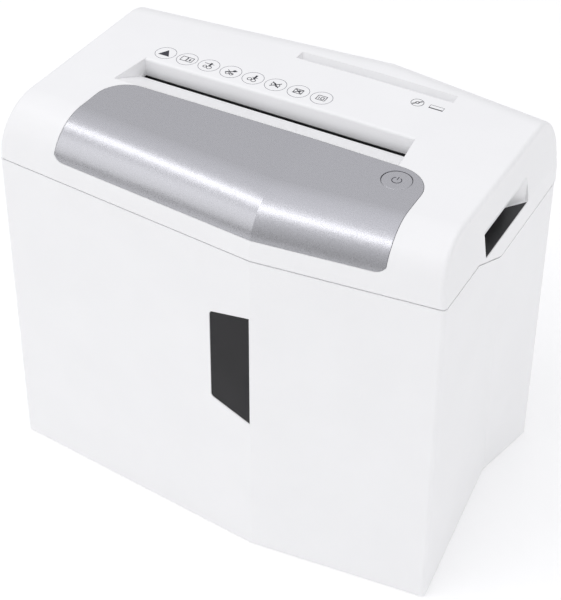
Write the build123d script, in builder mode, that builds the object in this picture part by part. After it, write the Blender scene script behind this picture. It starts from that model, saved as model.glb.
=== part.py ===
"""Paper shredder: a white bin with a lift-off cutting head.

Millimetres, +Z up. The origin is on the floor, in the middle of the object's
box. +X is to the right of someone who faces the front, and +Y goes to the back.
"""

from build123d import *
import math
import os

os.makedirs("parts", exist_ok=True)

# ---------------------------------------------------------------- outer shape
seam_height = 273.0  # seam between bin and head, along the front, above the floor
seam_step = 19.6  # the seam is this much lower along the back half of the sides
head_height = 44.0  # from the seam to the flat top at the crease
bottom_width = 366.0
bottom_depth = 236.0  # front crease to rear crease
seam_width = 352.4
top_width = 339.0
crease_bulge = 17.2  # how far the creases stand out from the corners, at the floor
crease_x = 44.1  # creases are right of the middle, at the floor
front_lean = 6.0  # the front leans back by this much, floor to seam
side_pinch = 13.9  # how far each side is drawn in at the floor
least_pinch = 0.05  # what is left of it along the seam
pinch_y = 41.9  # where the side is drawn in most, at the floor
pinch_top_y = -1.3  # top end of the side's crease
seam_slope_y = -41.5  # the seam starts to drop here, going back
corner_round = 3.5
least_round = 0.8
front_round = 36.0  # rounding between front and top of the head
rear_round = 32.0
ridge_drop = 1.5  # the top falls by this much from its ridge to the sides
seam_gap = 0.8
edge_bevel = 1.2  # bevel around the bin's foot

# ---------------------------------------------------------------- walls and fits
bin_wall = 2.5
bin_floor = 3.0
head_wall = 2.5
panel_thickness = 2.0
panel_gap = 0.3
guide_thickness = 1.6
running_gap = 0.05  # radial play of a shaft in its bush
free_gap = 0.5  # play between pieces that only pass each other
fitting_set_in = 0.5  # the cover's inner fittings stop this far inside its outer face
envelope_drop = 93.0  # the head's outline is drawn down to this far below the seam
overcut = 2.0  # how far a cut runs past each face of a wall
overrun = 20.0  # how far an open-ended cut or fitting runs on
outline_reach = 200.0  # past every side of the object

# ---------------------------------------------------------------- window
window_left_x = 8.5
window_crease_gap = 1.0
window_play = 0.1
window_tops = (216.0, 224.0)  # at its left edge and at the crease
window_bottoms = (137.0, 126.0)
window_round = 3.5
window_sink = 0.5  # the pane lies this far behind the wall's face
window_lip = 4.0  # the pane's flange behind the wall
lip_thickness = 1.5

# ---------------------------------------------------------------- throat and slots
feed_width = 220.0  # takes an A4 sheet
feed_x = -9.0  # middle of the throat
throat_back_y = 13.8
throat_slot = 6.5  # gap at the bottom of the throat
throat_depth = 13.0  # from the top down to the slot
ramp_front_y = -20.0
ramp_drop = 1.8  # the ramp starts this far below the top
ramp_run_out = 0.5
throat_flare = 4.0  # the throat's ends open out towards the front
throat_wall = 2.5
throat_edge_round = 2.0
disc_width = 121.0  # takes a 120 mm disc
disc_x = 41.5
disc_front_y = 68.4
disc_slot = 5.0
scoop_depth = 8.5
scoop_back = 5.5  # how far the scoop reaches behind the slot
scoop_end = 3.0
scoop_rise = 1.0  # the scoop's slopes are drawn on to this far above the top

# ---------------------------------------------------------------- control panel
panel_left_x = -122.0
panel_right_x = 132.0
panel_rear_y = -21.0
panel_shoulder = 23.0  # radius of the panel's rear corners
panel_flare = 3.6  # the panel widens by this much on its way to the front
panel_drop = 27.0  # its lower edge is this far below the top
panel_corner = 9.0
panel_ledge = 4.0  # the cover is double-walled this far around the panel
button_x = 111.0
button_y = -36.0
button_radius = 10.5
button_gap = 0.3
button_sink = 0.2  # its face lies this far below the panel's
button_edge = 0.5
button_travel = 1.5
button_flange = 1.5
button_rim = 2.0  # the flange is this much larger than the button
stem_length = 0.4
stem_play = 0.2
button_stem = 2.5
switch_height = 3.5
switch_size = 6.0
plunger_height = 0.8
plunger_radius = 1.7

# ---------------------------------------------------------------- grips
grip_front_y = -30.6
grip_rear_y = 43.7
grip_sink = 1.5  # the openings start this far below the front seam
grip_height = 21.5
grip_round = 2.0
grip_taper_depth = 9.0
grip_taper_top = 8.0
grip_taper_rear = 15.0
grip_inner_x = 165.0
grip_back_x = 154.0
liner_wall = 1.6
liner_lap = 1.6  # the liner is this much larger than the hole it lies behind

# ---------------------------------------------------------------- guides and paper lever
guide_start = 0.5  # the front guide starts this far in front of the slot
guide_bend_y = 2.3  # and turns down here
paper_front_end = (-4.0, 21.0)  # lower ends: behind the nip, and above the shafts
paper_rear_end = (2.6, 32.0)
disc_front_end = (6.6, 32.0)
disc_rear_end = (6.0, 20.0)
disc_guide_straight = 14.0  # the disc guides are upright down to this far below the top
disc_guide_play = 2.0
lever_drop = 26.0  # the lever's pivot is this far below the throat's floor
lever_set_back = 10.7  # and this far in front of the guide
lever_pin = 1.5
pin_play = 0.2
lever_hub = 3.0
lever_end = 1.2
lever_half = 1.25
lever_tip = (15.5, 6.0)  # from the pivot
lever_tail = (-7.0, -2.0)
lever_slot = (-10.0, 14.0)  # the guide's slot, from the pivot down and up
ear_gap = 1.0
ear_thickness = 2.0
ear_rim = 1.0
ear_reach = 10.0  # the ears meet the guide this far above and below the pivot
ear_root = 0.7
paper_switch_size = (6.0, 12.0, 10.0)
paper_switch_nub = (3.0, 2.0, 1.5)

# ---------------------------------------------------------------- cutting unit
shaft_drop = 37.0  # the rollers lie this far below the front seam
nip_y = 34.0
shaft_distance = 34.0
cutter_overlap = 1.2  # each disc reaches this far past the middle between the rollers
spacer_gap = 1.8  # from a disc's edge to the other roller's spacer
cutter_pitch = 10.0
cutter_gap = 0.4  # between a disc and the discs of the other roller
journal_radius = 7.0
notch_size = 3.0
notches = 4
notch_step = 15.0  # each disc's notches are turned on by this angle
shaft_overhang = 2.0  # of a shaft's end past the last gear
rear_shaft_short = 0.5
plate_thickness = 3.0
plate_clearance = 2.0  # roller end to side plate
plate_corner = 6.0
plate_half_depth = 56.0  # of the side plates, in front of and behind the nip
plate_heights = (-32.0, 34.0)  # from the shafts
rod_radius = 4.0
rod_y = 48.0  # the tie rods are this far in front of and behind the nip
rod_heights = (-20.0, 26.0)
bush_wall = 3.0
bush_flange = 1.5
bush_rim = 2.0
ring_thickness = 1.2
ring_rim = 2.0
comb_gap = 0.8
comb_clearance = 2.8  # from the discs to the bar
comb_reach = 7.0  # the fingers end this far from the shaft's middle
comb_bar = 4.0
comb_height = 24.0
comb_lap = 0.2
screw_radius = 1.5
screw_play = 0.1
screw_head_radius = 3.2
screw_head_height = 2.0
screw_length = 9.0
screw_recess = (3.6, 0.8, 1.6)

# ---------------------------------------------------------------- gears and motor
pressure_angle = math.radians(25.0)
addendum = 0.8  # tooth height outside the pitch circle, in modules
dedendum = 1.0
backlash = 0.12
tooth_sink = 0.3  # the teeth start this far inside the root circle
sync_teeth = 17
sync_gear_width = 10.0
sync_gear_offset = 4.0  # from the left plate
drive_teeth = 30
drive_module = 2.0
drive_width = 11.0
second_small_teeth = 12
second_small_width = 14.0
second_big_teeth = 48
second_big_width = 6.0
second_module = 1.25
first_small_teeth = 12
first_small_width = 10.0
first_big_teeth = 50
first_big_width = 6.0
first_module = 1.0
first_gap = 3.0  # from the gear plate to the first wheel
wheel_gap = 2.0  # from a wheel to the next one beside it
pinion_teeth = 10
pinion_overhang = 1.0
motor_set_forward = 92.0  # the motor's axis is this far in front of the nip
motor_rise = 14.0  # and above the shafts
first_gear_angle = -23.6  # direction from the motor to the first gear
motor_radius = 27.0
motor_length = 91.0
motor_wall = 1.5
motor_margin = 2.0  # the gear plate's mount stands out past the can by this much
motor_boss = 8.0
bearing_blind = 2.0  # how far the can's bore runs into its end boss
motor_shaft_radius = 3.0
motor_screw_reach = 18.0
motor_screw_bite = 3.0
mount_reach = (121.0, 30.0)  # the gear plate's motor mount, in front of the nip
magnet_thickness = 4.5
magnet_start = 20.0
magnet_length = 50.0
magnet_split = 12.0
rotor_radius = 19.0
rotor_core = (26.0, 64.0)  # the core's ends, from the can's end
rotor_taper = 4.0
rotor_slots = 8
rotor_slot = (5.0, 2.0)
commutator_radius = 8.0
commutator_length = 14.0
axle_radius = 3.0
bell_thickness = 4.0
gear_cover_wall = 2.0
gear_cover_depth = 35.0
gear_cover_round = 1.5
gear_cover_room = (4.0, 3.0, 3.5, 4.4)  # outside the pitch circles, from the pinion on

# ---------------------------------------------------------------- head base
base_wall = 2.0
base_drop = 38.0  # the tub's underside is this far below the shafts
base_left_x = -144.0
base_right_x = 146.0
base_front_y = -90.0
base_rear_y = 94.0
base_round = 10.0
base_edge_round = 3.0
flange_lift = 1.5  # the flange's underside is this far above the front seam
flange_thickness = 2.5
flange_gap = 0.4
boss_radius = 4.0
boss_places = ((-150.0, -80.0), (150.0, -80.0), (-150.0, 86.0), (150.0, 86.0), (0.0, -99.0), (0.0, 103.0))
pad_size = (8.0, 10.0)  # the pads that the side plates stand on
pad_inset = 12.0
outlet_margin = 14.0  # the outlet reaches this far past both shafts
foot_size = 12.0
foot_x = 163.0
foot_inset = 11.0  # foot's middle to the plan's corner line
liner_room_x = 151.0  # the flange leaves room for the grips from here out
vent_pitch = 9.0
vent_count = 9
vent_width = 4.0
vent_length = 40.0
ledge_depth = 2.0  # the bin's ledges lie this far below its rim
ledge_thickness = 4.0
ledge_size = 20.0
tab_x = -60.0  # tab on the bin's back wall that presses the interlock switch
tab_width = 12.0
tab_thickness = 4.0
tab_height = 36.0
tab_root = 20.0  # height of the foot that joins the tab to the wall
tab_drop = 9.0  # the tab's top is this far below the front seam

# ---------------------------------------------------------------- boards and cord inlet
post_radius = 2.5
button_posts = ((88.0, -59.0), (129.0, -59.0), (88.0, -28.0), (129.0, -28.0))
main_board_drop = 31.4  # the main board is this far below the top
board_posts = ((-116.0, 52.0), (-44.0, 52.0), (-116.0, 86.0), (-44.0, 86.0))
board_thickness = 1.6
board_margin = 4.0
capacitor_place = (-100.0, 68.0)
capacitor_size = (8.0, 20.0)  # radius and height
capacitor_edge = 1.0
relay_place = (-74.0, 70.0)
relay_size = (19.0, 15.0, 15.0)
relay_edge = 0.6
terminal_place = (-50.0, 69.0)
terminal_size = (10.0, 24.0, 11.0)
terminal_pitch = 8.0
terminal_count = 3
terminal_mouth = (6.0, 5.0, 5.0)
terminal_mouth_z = 4.0
interlock_play = 0.8
interlock_length = 20.0
interlock_depth = 5.5
interlock_plunger = (1.5, 1.0)  # radius, and how far it stands out
interlock_set_in = 1.5  # the switch sits this far in front of the tab's middle
gland_lip = 2.5
gland_rim = 2.5
gland_edge = 1.0
gland_tail = 3.0  # how far the gland reaches in behind the wall
gland_bore = 3.6
gland_x = -120.0
gland_rise = 11.6  # above the rear seam
gland_radius = 6.2

# ---------------------------------------------------------------- derived places
head_top = seam_height + head_height
rear_seam_height = seam_height - seam_step
envelope_bottom = seam_height - envelope_drop
corner_y = bottom_depth / 2 - crease_bulge
seam_corner_y = corner_y - front_lean
seam_share = seam_width / bottom_width
throat_floor = head_top - throat_depth
ramp_top = head_top - ramp_drop
panel_bottom = head_top - panel_drop
main_board_top = head_top - main_board_drop
grip_bottom = seam_height - grip_sink
grip_top = grip_bottom + grip_height
shaft_z = seam_height - shaft_drop
cutter_radius = shaft_distance / 2 + cutter_overlap
spacer_radius = shaft_distance - cutter_radius - spacer_gap
sync_module = shaft_distance / sync_teeth
front_shaft_y = nip_y - shaft_distance / 2
rear_shaft_y = nip_y + shaft_distance / 2
plate_y = (nip_y - plate_half_depth, nip_y + plate_half_depth)
plate_z = (shaft_z + plate_heights[0], shaft_z + plate_heights[1])
rod_places = [(nip_y + side * rod_y, shaft_z + height) for side in (-1, 1) for height in rod_heights]
motor_y = nip_y - motor_set_forward
motor_z = shaft_z + motor_rise
mount_y = (nip_y - mount_reach[0], nip_y - mount_reach[1])
feed_left_x = feed_x - feed_width / 2
feed_right_x = feed_x + feed_width / 2
left_plate_x = feed_left_x - plate_clearance - plate_thickness
right_plate_x = feed_right_x + plate_clearance
gear_face_x = right_plate_x + plate_thickness
guide_top = throat_floor - throat_wall
panel_middle_x = (panel_left_x + panel_right_x) / 2
grip_middle_y = (grip_front_y + grip_rear_y) / 2
base_floor = shaft_z - base_drop
base_middle = ((base_left_x + base_right_x) / 2, (base_front_y + base_rear_y) / 2)
base_length = base_right_x - base_left_x
base_depth = base_rear_y - base_front_y
flange_bottom = seam_height + flange_lift
flange_top = flange_bottom + flange_thickness
tab_top = seam_height - tab_drop
gland_z = rear_seam_height + gland_rise


# ================================================================ shared shapes
onwards = (Align.CENTER, Align.CENTER, Align.MIN)  # a body that starts at its place
backwards = (Align.CENTER, Align.CENTER, Align.MAX)  # and one that ends there


def half_width(z):
    """Half of the bin's width at a height."""
    return (bottom_width + (seam_width - bottom_width) * z / seam_height) / 2


def bin_section(z, inset=0.0):
    """The bin's plan at a height, drawn in by inset on every side."""
    half = half_width(z) - inset
    share = half_width(z) / half_width(0)
    front_y = -(corner_y - front_lean * z / seam_height) + inset
    rear_y = corner_y - inset
    bulge = crease_bulge * share
    rise = min(z / rear_seam_height, 1.0)
    pinch = max(side_pinch * (1 - rise), least_pinch)
    kink_y = pinch_y + (pinch_top_y - pinch_y) * rise
    with BuildSketch(Plane.XY.offset(z)) as section:
        with BuildLine():
            Polyline(
                (-half, front_y),
                (crease_x * share, front_y - bulge),
                (half, front_y),
                (half - pinch, kink_y),
                (half, rear_y),
                (crease_x * share, rear_y + bulge),
                (-half, rear_y),
                (-half + pinch, kink_y),
                close=True,
            )
        make_face()
        corners = [v for v in section.vertices() if abs(abs(v.X) - half) < 0.01]
        fillet(corners, max(corner_round - inset, least_round))
    return section.sketch


def crease_reach(x):
    """How far the head's front and back stand out past its corners, at a place across."""
    middle = crease_x * seam_share
    bulge = crease_bulge * seam_share
    side = seam_width / 2
    if x < middle:
        return bulge * (x + side) / (middle + side)
    return bulge * (side - x) / (side - middle)


def top_at(x):
    """Height of the head's top, at a place across."""
    middle = crease_x * seam_share
    span = top_width / 2 + (middle if x < middle else -middle)
    return head_top - ridge_drop * abs(x - middle) / span


def head_profile(x, inset):
    """The head's side-on outline at a place across."""
    reach = crease_reach(x)
    front_y = -seam_corner_y - reach + inset
    rear_y = corner_y + reach - inset
    top = top_at(x) - inset
    with BuildSketch(Plane.YZ.offset(x)) as profile:
        with BuildLine():
            Polyline(
                (front_y, envelope_bottom),
                (front_y, top),
                (rear_y, top),
                (rear_y, envelope_bottom),
                close=True,
            )
        make_face()
        fillet(profile.vertices().group_by(Axis.Y)[-1].sort_by(Axis.X)[0], front_round - inset)
        fillet(profile.vertices().group_by(Axis.Y)[-1].sort_by(Axis.X)[-1], rear_round - inset)
    return profile.sketch


def head_envelope(inset=0.0):
    """The head's whole outer shape, drawn in by inset, reaching down into the bin."""
    side = seam_width / 2 - inset
    slope = (seam_width - top_width) / 2 / head_height
    places = (-outline_reach, crease_x * seam_share, outline_reach)
    with BuildPart() as envelope:
        loft([head_profile(x, inset) for x in places], ruled=True)
        with BuildSketch(Plane.XZ):
            with BuildLine():
                top_side = side - slope * (head_height + overrun)
                low_side = half_width(envelope_bottom) - inset
                Polyline(
                    (-low_side, envelope_bottom),
                    (-side, seam_height),
                    (-top_side, head_top + overrun),
                    (top_side, head_top + overrun),
                    (side, seam_height),
                    (low_side, envelope_bottom),
                    close=True,
                )
            make_face()
        extrude(amount=outline_reach, both=True, mode=Mode.INTERSECT)
        if inset == 0.0:
            sides = envelope.faces().filter_by(lambda f: abs(f.normal_at().X) > 0.9)
            uppers = sides.sort_by(Axis.Z)[-2:]
            rims = uppers.edges().filter_by(lambda e: e.center().Z > seam_height + free_gap)
            fillet(rims, corner_round)
    return envelope.part


def seam_cut(lift):
    """Everything above the seam, raised by lift, as a solid to cut or keep with."""
    with BuildPart() as above:
        with BuildSketch(Plane.YZ):
            with BuildLine():
                Polyline(
                    (-outline_reach, seam_height + lift),
                    (seam_slope_y, seam_height + lift),
                    (pinch_top_y, rear_seam_height + lift),
                    (outline_reach, rear_seam_height + lift),
                    (outline_reach, head_top + overrun),
                    (-outline_reach, head_top + overrun),
                    close=True,
                )
            make_face()
        extrude(amount=outline_reach, both=True)
    return above.part


def plate_section(points, thickness, x):
    """A thin bent plate seen from the side, along a line of (y, z) points."""
    with BuildSketch(Plane.YZ.offset(x)) as section:
        with BuildLine():
            Polyline(*points)
            offset(amount=thickness / 2, side=Side.BOTH)
        make_face()
    return section.sketch


tab_y = corner_y + crease_reach(tab_x) - head_wall - free_gap - tab_thickness / 2
tab_foot_depth = corner_y + crease_reach(tab_x) - bin_wall / 2 - tab_y
button_height = head_wall + panel_thickness
button_top = top_at(button_x) - button_sink
button_foot = button_top - button_height - button_flange - stem_length
button_board_top = button_foot - button_travel - stem_play - switch_height
gland_plane = Plane(
    origin=(gland_x, corner_y + crease_reach(gland_x), gland_z),
    z_dir=(crease_reach(gland_x) - crease_reach(gland_x + 1), 1, 0),
)
outer_head = head_envelope()
inner_head = head_envelope(head_wall)

# ================================================================ bin
facet_left = Vector(-bottom_width / 2, -corner_y, 0)
facet_foot = Vector(crease_x, -corner_y - crease_bulge, 0)
facet_up = Vector(-seam_width / 2, -seam_corner_y, seam_height)
facet = Plane(
    origin=facet_foot,
    x_dir=facet_foot - facet_left,
    z_dir=(facet_foot - facet_left).cross(facet_up - facet_left),
)


def on_facet(x, z):
    """The place of (x, z) on the left front facet, in the facet's own plane."""
    normal = facet.z_dir
    y = facet.origin.Y - (normal.X * (x - facet.origin.X) + normal.Z * (z - facet.origin.Z)) / normal.Y
    local = facet.to_local_coords(Vector(x, y, z))
    return (local.X, local.Y)


def window_outline(grow):
    """The window's outline, grown to the left, up and down."""
    left = window_left_x - grow
    low_x = crease_x * half_width(window_bottoms[1]) / half_width(0) - window_crease_gap
    high_x = crease_x * half_width(window_tops[1]) / half_width(0) - window_crease_gap
    return (
        on_facet(left, window_bottoms[0] - grow),
        on_facet(low_x, window_bottoms[1] - grow),
        on_facet(high_x, window_tops[1] + grow),
        on_facet(left, window_tops[0] + grow),
    )


def window_face(grow, depth, shrink=0.0):
    """The window's outline as a face, behind the facet by depth."""
    with BuildSketch(facet.offset(-depth)) as face:
        with BuildLine():
            Polyline(*window_outline(grow), close=True)
        make_face()
        fillet(face.vertices().sort_by(Axis.X)[:2], window_round)
        if shrink:
            offset(amount=-shrink)
    return face.sketch


with BuildPart() as bin_shell:
    loft(
        [
            bin_section(0, edge_bevel),
            bin_section(edge_bevel),
            bin_section(rear_seam_height),
            bin_section(seam_height),
        ],
        ruled=True,
    )
    loft(
        [bin_section(z, bin_wall) for z in (bin_floor, rear_seam_height, seam_height + overrun)],
        ruled=True,
        mode=Mode.SUBTRACT,
    )
    ledge_set_in = (bin_wall + ledge_size) / 2
    for side in (-1, 1):
        front_ledge_x = side * (half_width(seam_height) - ledge_set_in)
        with Locations((front_ledge_x, -seam_corner_y + bin_wall / 2, seam_height - ledge_depth)):
            Box(ledge_size, ledge_size, ledge_thickness, align=(Align.CENTER, Align.MIN, Align.MAX))
        rear_ledge_x = side * (half_width(rear_seam_height) - ledge_set_in)
        with Locations((rear_ledge_x, corner_y - bin_wall / 2, rear_seam_height - ledge_depth)):
            Box(ledge_size, ledge_size, ledge_thickness, align=(Align.CENTER, Align.MAX, Align.MAX))
    add(seam_cut(0), mode=Mode.SUBTRACT)
    with Locations((tab_x, tab_y, tab_top)):
        Box(tab_width, tab_thickness, tab_height, align=backwards)
    with Locations((tab_x, tab_y, rear_seam_height - ledge_depth)):
        Box(tab_width, tab_foot_depth, tab_root, align=(Align.CENTER, Align.MIN, Align.MAX))
    extrude(window_face(0, bin_wall + overcut), amount=bin_wall + 2 * overcut, mode=Mode.SUBTRACT)

pane_depth = bin_wall + window_play + lip_thickness
with BuildPart() as bin_window:
    extrude(window_face(0, pane_depth, window_play), amount=pane_depth - window_sink)
    extrude(window_face(window_lip, pane_depth, window_play), amount=lip_thickness)


# ================================================================ head cover
def throat_space(grow, high):
    """The throat's funnel, grown outwards, from its floor up to a height."""
    back = throat_back_y + grow
    front = ramp_front_y - grow - ramp_run_out
    with BuildPart() as space:
        with BuildSketch(Plane.YZ):
            with BuildLine():
                Polyline(
                    (back, high),
                    (back, throat_floor - grow),
                    (throat_back_y - throat_slot, throat_floor - grow),
                    (ramp_front_y, ramp_top - grow),
                    (front, ramp_top - grow),
                    (front, high),
                    close=True,
                )
            make_face()
        extrude(amount=outline_reach, both=True)
        with BuildSketch(Plane.XY.offset(throat_floor - overrun)):
            with BuildLine():
                Polyline(
                    (feed_left_x - grow, back),
                    (feed_right_x + grow, back),
                    (feed_right_x + throat_flare + grow, front),
                    (feed_left_x - throat_flare - grow, front),
                    close=True,
                )
            make_face()
        extrude(amount=head_top, mode=Mode.INTERSECT)
    return space.part


def panel_outline(grow):
    """The control panel seen from above, running out past the front."""
    far = -outline_reach
    with BuildSketch(Plane.XY.offset(panel_bottom - overrun)) as outline:
        with BuildLine():
            right = TangentArc(
                (panel_right_x, panel_rear_y - panel_shoulder),
                (panel_right_x + panel_flare, -seam_corner_y - crease_bulge),
                tangent=(0, -1),
            )
            shoulder = RadiusArc(
                (panel_right_x - panel_shoulder, panel_rear_y),
                (panel_right_x, panel_rear_y - panel_shoulder),
                panel_shoulder,
            )
            Line((panel_middle_x, panel_rear_y), shoulder @ 0)
            Line(right @ 1, (panel_right_x + panel_flare, far))
            Line((panel_right_x + panel_flare, far), (panel_middle_x, far))
            Line((panel_middle_x, far), (panel_middle_x, panel_rear_y))
        make_face()
        mirror(about=Plane.YZ.offset(panel_middle_x))
        if grow:
            offset(amount=grow)
    return outline.sketch


def panel_front(grow):
    """The control panel seen from the front, running up past the top."""
    width = panel_right_x - panel_left_x + 2 * panel_flare + 2 * grow
    with BuildSketch(Plane.XZ) as outline:
        with Locations((panel_middle_x, panel_bottom - grow)):
            Rectangle(width, head_top, align=(Align.CENTER, Align.MIN))
        fillet(outline.vertices().sort_by(Axis.Y)[:2], panel_corner + grow)
    return outline.sketch


def panel_layer(outer, inner, grow):
    """The part of a layer of the head's skin that lies within the panel's outline."""
    with BuildPart() as layer:
        add(outer)
        add(inner, mode=Mode.SUBTRACT)
        extrude(panel_outline(grow), amount=head_top, mode=Mode.INTERSECT)
        extrude(panel_front(grow), amount=outline_reach, both=True, mode=Mode.INTERSECT)
    return layer.part


with BuildPart() as cover_fittings:
    add(throat_space(throat_wall, head_top - ridge_drop - fitting_set_in))
    with Locations((disc_x, disc_front_y - head_wall, head_top - scoop_depth - head_wall)):
        Box(
            disc_width + 2 * scoop_end + 2 * head_wall,
            disc_slot + scoop_back + 2 * head_wall,
            scoop_depth + head_wall - ridge_drop,
            align=(Align.CENTER, Align.MIN, Align.MIN),
        )
    for side in (-1, 1):
        with Locations((side * (grip_inner_x + overrun), grip_middle_y, (grip_bottom + grip_top) / 2)):
            Box(2 * overrun, grip_rear_y - grip_front_y + 2 * head_wall, grip_height + 2 * head_wall)
    with Locations(*[(x, y, flange_top) for x, y in boss_places]):
        Cylinder(boss_radius, head_top, align=onwards)
    with Locations(*[(x, y, button_board_top) for x, y in button_posts]):
        Cylinder(post_radius, head_top, align=onwards)
    with Locations(*[(x, y, main_board_top) for x, y in board_posts]):
        Cylinder(post_radius, head_top, align=onwards)
    add(head_envelope(fitting_set_in), mode=Mode.INTERSECT)

with BuildPart() as head_cover:
    add(outer_head)
    add(inner_head, mode=Mode.SUBTRACT)
    add(panel_layer(inner_head, head_envelope(head_wall + panel_thickness), panel_ledge))
    add(cover_fittings.part)
    add(seam_cut(seam_gap), mode=Mode.INTERSECT)
    add(panel_layer(outer_head, head_envelope(panel_thickness), panel_gap), mode=Mode.SUBTRACT)
    add(throat_space(0, head_top + overrun), mode=Mode.SUBTRACT)
    back_edges = head_cover.edges().filter_by(lambda e: abs(e.center().Y - throat_back_y) < 0.1)
    top_edges = back_edges.filter_by(lambda e: e.center().Z > ramp_top - ridge_drop and e.length > throat_depth)
    fillet(top_edges, throat_edge_round)
    with BuildSketch(Plane.XY.offset(throat_floor + overcut)):
        with Locations((feed_x, throat_back_y)):
            Rectangle(feed_width, throat_slot, align=(Align.CENTER, Align.MAX))
    extrude(amount=-(throat_wall + 2 * overcut), mode=Mode.SUBTRACT)
    with BuildSketch(Plane.XY.offset(head_top - scoop_depth)) as slot_floor:
        with Locations((disc_x, disc_front_y)):
            Rectangle(disc_width, disc_slot, align=(Align.CENTER, Align.MIN))
    with BuildSketch(Plane.XY.offset(head_top + scoop_rise)) as slot_mouth:
        with Locations((disc_x, disc_front_y)):
            Rectangle(disc_width + 2 * scoop_end, disc_slot + scoop_back, align=(Align.CENTER, Align.MIN))
    loft([slot_floor.sketch, slot_mouth.sketch], ruled=True, mode=Mode.SUBTRACT)
    extrude(slot_floor.sketch, amount=-head_wall - overcut, mode=Mode.SUBTRACT)
    for side in (-1, 1):
        with BuildSketch(Plane.YZ.offset(side * (grip_inner_x + grip_taper_depth))) as grip_mouth:
            with Locations((grip_middle_y, (grip_bottom + grip_top) / 2)):
                Rectangle(grip_rear_y - grip_front_y, grip_height)
            fillet(grip_mouth.vertices(), grip_round)
        with BuildSketch(Plane.YZ.offset(side * grip_inner_x)) as grip_throat:
            with Locations((grip_front_y, grip_bottom)):
                Rectangle(
                    grip_rear_y - grip_front_y - grip_taper_rear,
                    grip_height - grip_taper_top,
                    align=(Align.MIN, Align.MIN),
                )
            fillet(grip_throat.vertices(), grip_round)
        loft([grip_mouth.sketch, grip_throat.sketch], ruled=True, mode=Mode.SUBTRACT)
        extrude(grip_mouth.sketch, amount=side * overrun, mode=Mode.SUBTRACT)
        extrude(grip_throat.sketch, amount=-side * overcut, mode=Mode.SUBTRACT)
    with Locations(*[(x, y, flange_top) for x, y in boss_places]):
        Cylinder(screw_radius, screw_length, align=onwards, mode=Mode.SUBTRACT)
    with Locations((button_x, button_y, head_top)):
        Cylinder(button_radius + button_gap, overrun, mode=Mode.SUBTRACT)
    with Locations(gland_plane):
        Cylinder(gland_radius, overrun, mode=Mode.SUBTRACT)

with BuildPart() as control_panel:
    add(panel_layer(outer_head, head_envelope(panel_thickness), 0))
    with Locations((button_x, button_y, head_top)):
        Cylinder(button_radius + button_gap, overrun, mode=Mode.SUBTRACT)

with BuildPart() as power_button:
    with Locations((button_x, button_y, button_top)):
        Cylinder(button_radius, button_height, align=backwards)
    fillet(power_button.edges().sort_by(Axis.Z)[-1], button_edge)
    with Locations((button_x, button_y, button_top - button_height)):
        Cylinder(button_radius + button_rim, button_flange, align=backwards)
        Cylinder(button_stem, button_flange + stem_length, align=backwards)

# ================================================================ grip liners
def grip_liner(side):
    """The dark cup behind one grip opening."""
    low_y = grip_front_y
    high_y = grip_rear_y - grip_taper_rear
    high_z = grip_top - grip_taper_top
    middle = ((low_y + high_y) / 2, (grip_bottom + high_z) / 2)
    width = high_y - low_y + 2 * liner_lap
    height = high_z - grip_bottom + 2 * liner_lap
    depth = grip_inner_x - grip_back_x
    with BuildPart() as liner:
        with BuildSketch(Plane.YZ.offset(side * grip_inner_x)):
            with Locations(middle):
                Rectangle(width, height)
        extrude(amount=-side * depth)
        with BuildSketch(Plane.YZ.offset(side * grip_inner_x)):
            with Locations(middle):
                RectangleRounded(width - 2 * liner_wall, height - 2 * liner_wall, grip_round)
        extrude(amount=-side * (depth - liner_wall), mode=Mode.SUBTRACT)
    return liner


grip_liner_left = grip_liner(-1)
grip_liner_right = grip_liner(1)

# ================================================================ guides and paper lever
guide_width = feed_width + 2 * plate_clearance
guide_half = guide_thickness / 2
guide_start_z = guide_top - guide_half
guide_front_line = (
    (throat_back_y - throat_slot - guide_start, guide_start_z),
    (guide_bend_y, guide_start_z),
    (nip_y + paper_front_end[0], shaft_z + paper_front_end[1]),
)
guide_rear_line = (
    (throat_back_y + guide_half, guide_start_z),
    (nip_y + paper_rear_end[0], shaft_z + paper_rear_end[1]),
)
disc_guide_width = disc_width + disc_guide_play
disc_guide_top = head_top - scoop_depth - head_wall - guide_half
disc_bend_z = head_top - disc_guide_straight
disc_front_guide_y = disc_front_y - guide_half
disc_rear_guide_y = disc_front_y + disc_slot + guide_half
disc_front_line = (
    (disc_front_guide_y, disc_guide_top),
    (disc_front_guide_y, disc_bend_z),
    (nip_y + disc_front_end[0], shaft_z + disc_front_end[1]),
)
disc_rear_line = (
    (disc_rear_guide_y, disc_guide_top),
    (disc_rear_guide_y, disc_bend_z),
    (nip_y + disc_rear_end[0], shaft_z + disc_rear_end[1]),
)


def line_at(line, z):
    """The place at height z on a line's last run."""
    (y0, z0), (y1, z1) = line[-2:]
    return (y0 + (y1 - y0) * (z - z0) / (z1 - z0), z)


lever_z = throat_floor - lever_drop
lever_y = line_at(guide_front_line, lever_z)[0] - lever_set_back
lever_pivot = (lever_y, lever_z)
ear_middle = lever_half + ear_gap + ear_thickness


def wrapped(plane, places):
    """A face wrapped around circles, each given as (place, radius)."""
    with BuildSketch(plane) as hull:
        for place, radius in places:
            with Locations(place):
                Circle(radius)
        make_hull()
    return hull.sketch


def guide_plate(points, width, middle_x):
    """A bent guide plate as wide as what it guides."""
    with BuildPart() as plate:
        extrude(plate_section(points, guide_thickness, middle_x), amount=width / 2, both=True)
    return plate


paper_guide_rear = guide_plate(guide_rear_line, guide_width, feed_x)
disc_guide_front = guide_plate(disc_front_line, disc_guide_width, disc_x)
disc_guide_rear = guide_plate(disc_rear_line, disc_guide_width, disc_x)

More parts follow.
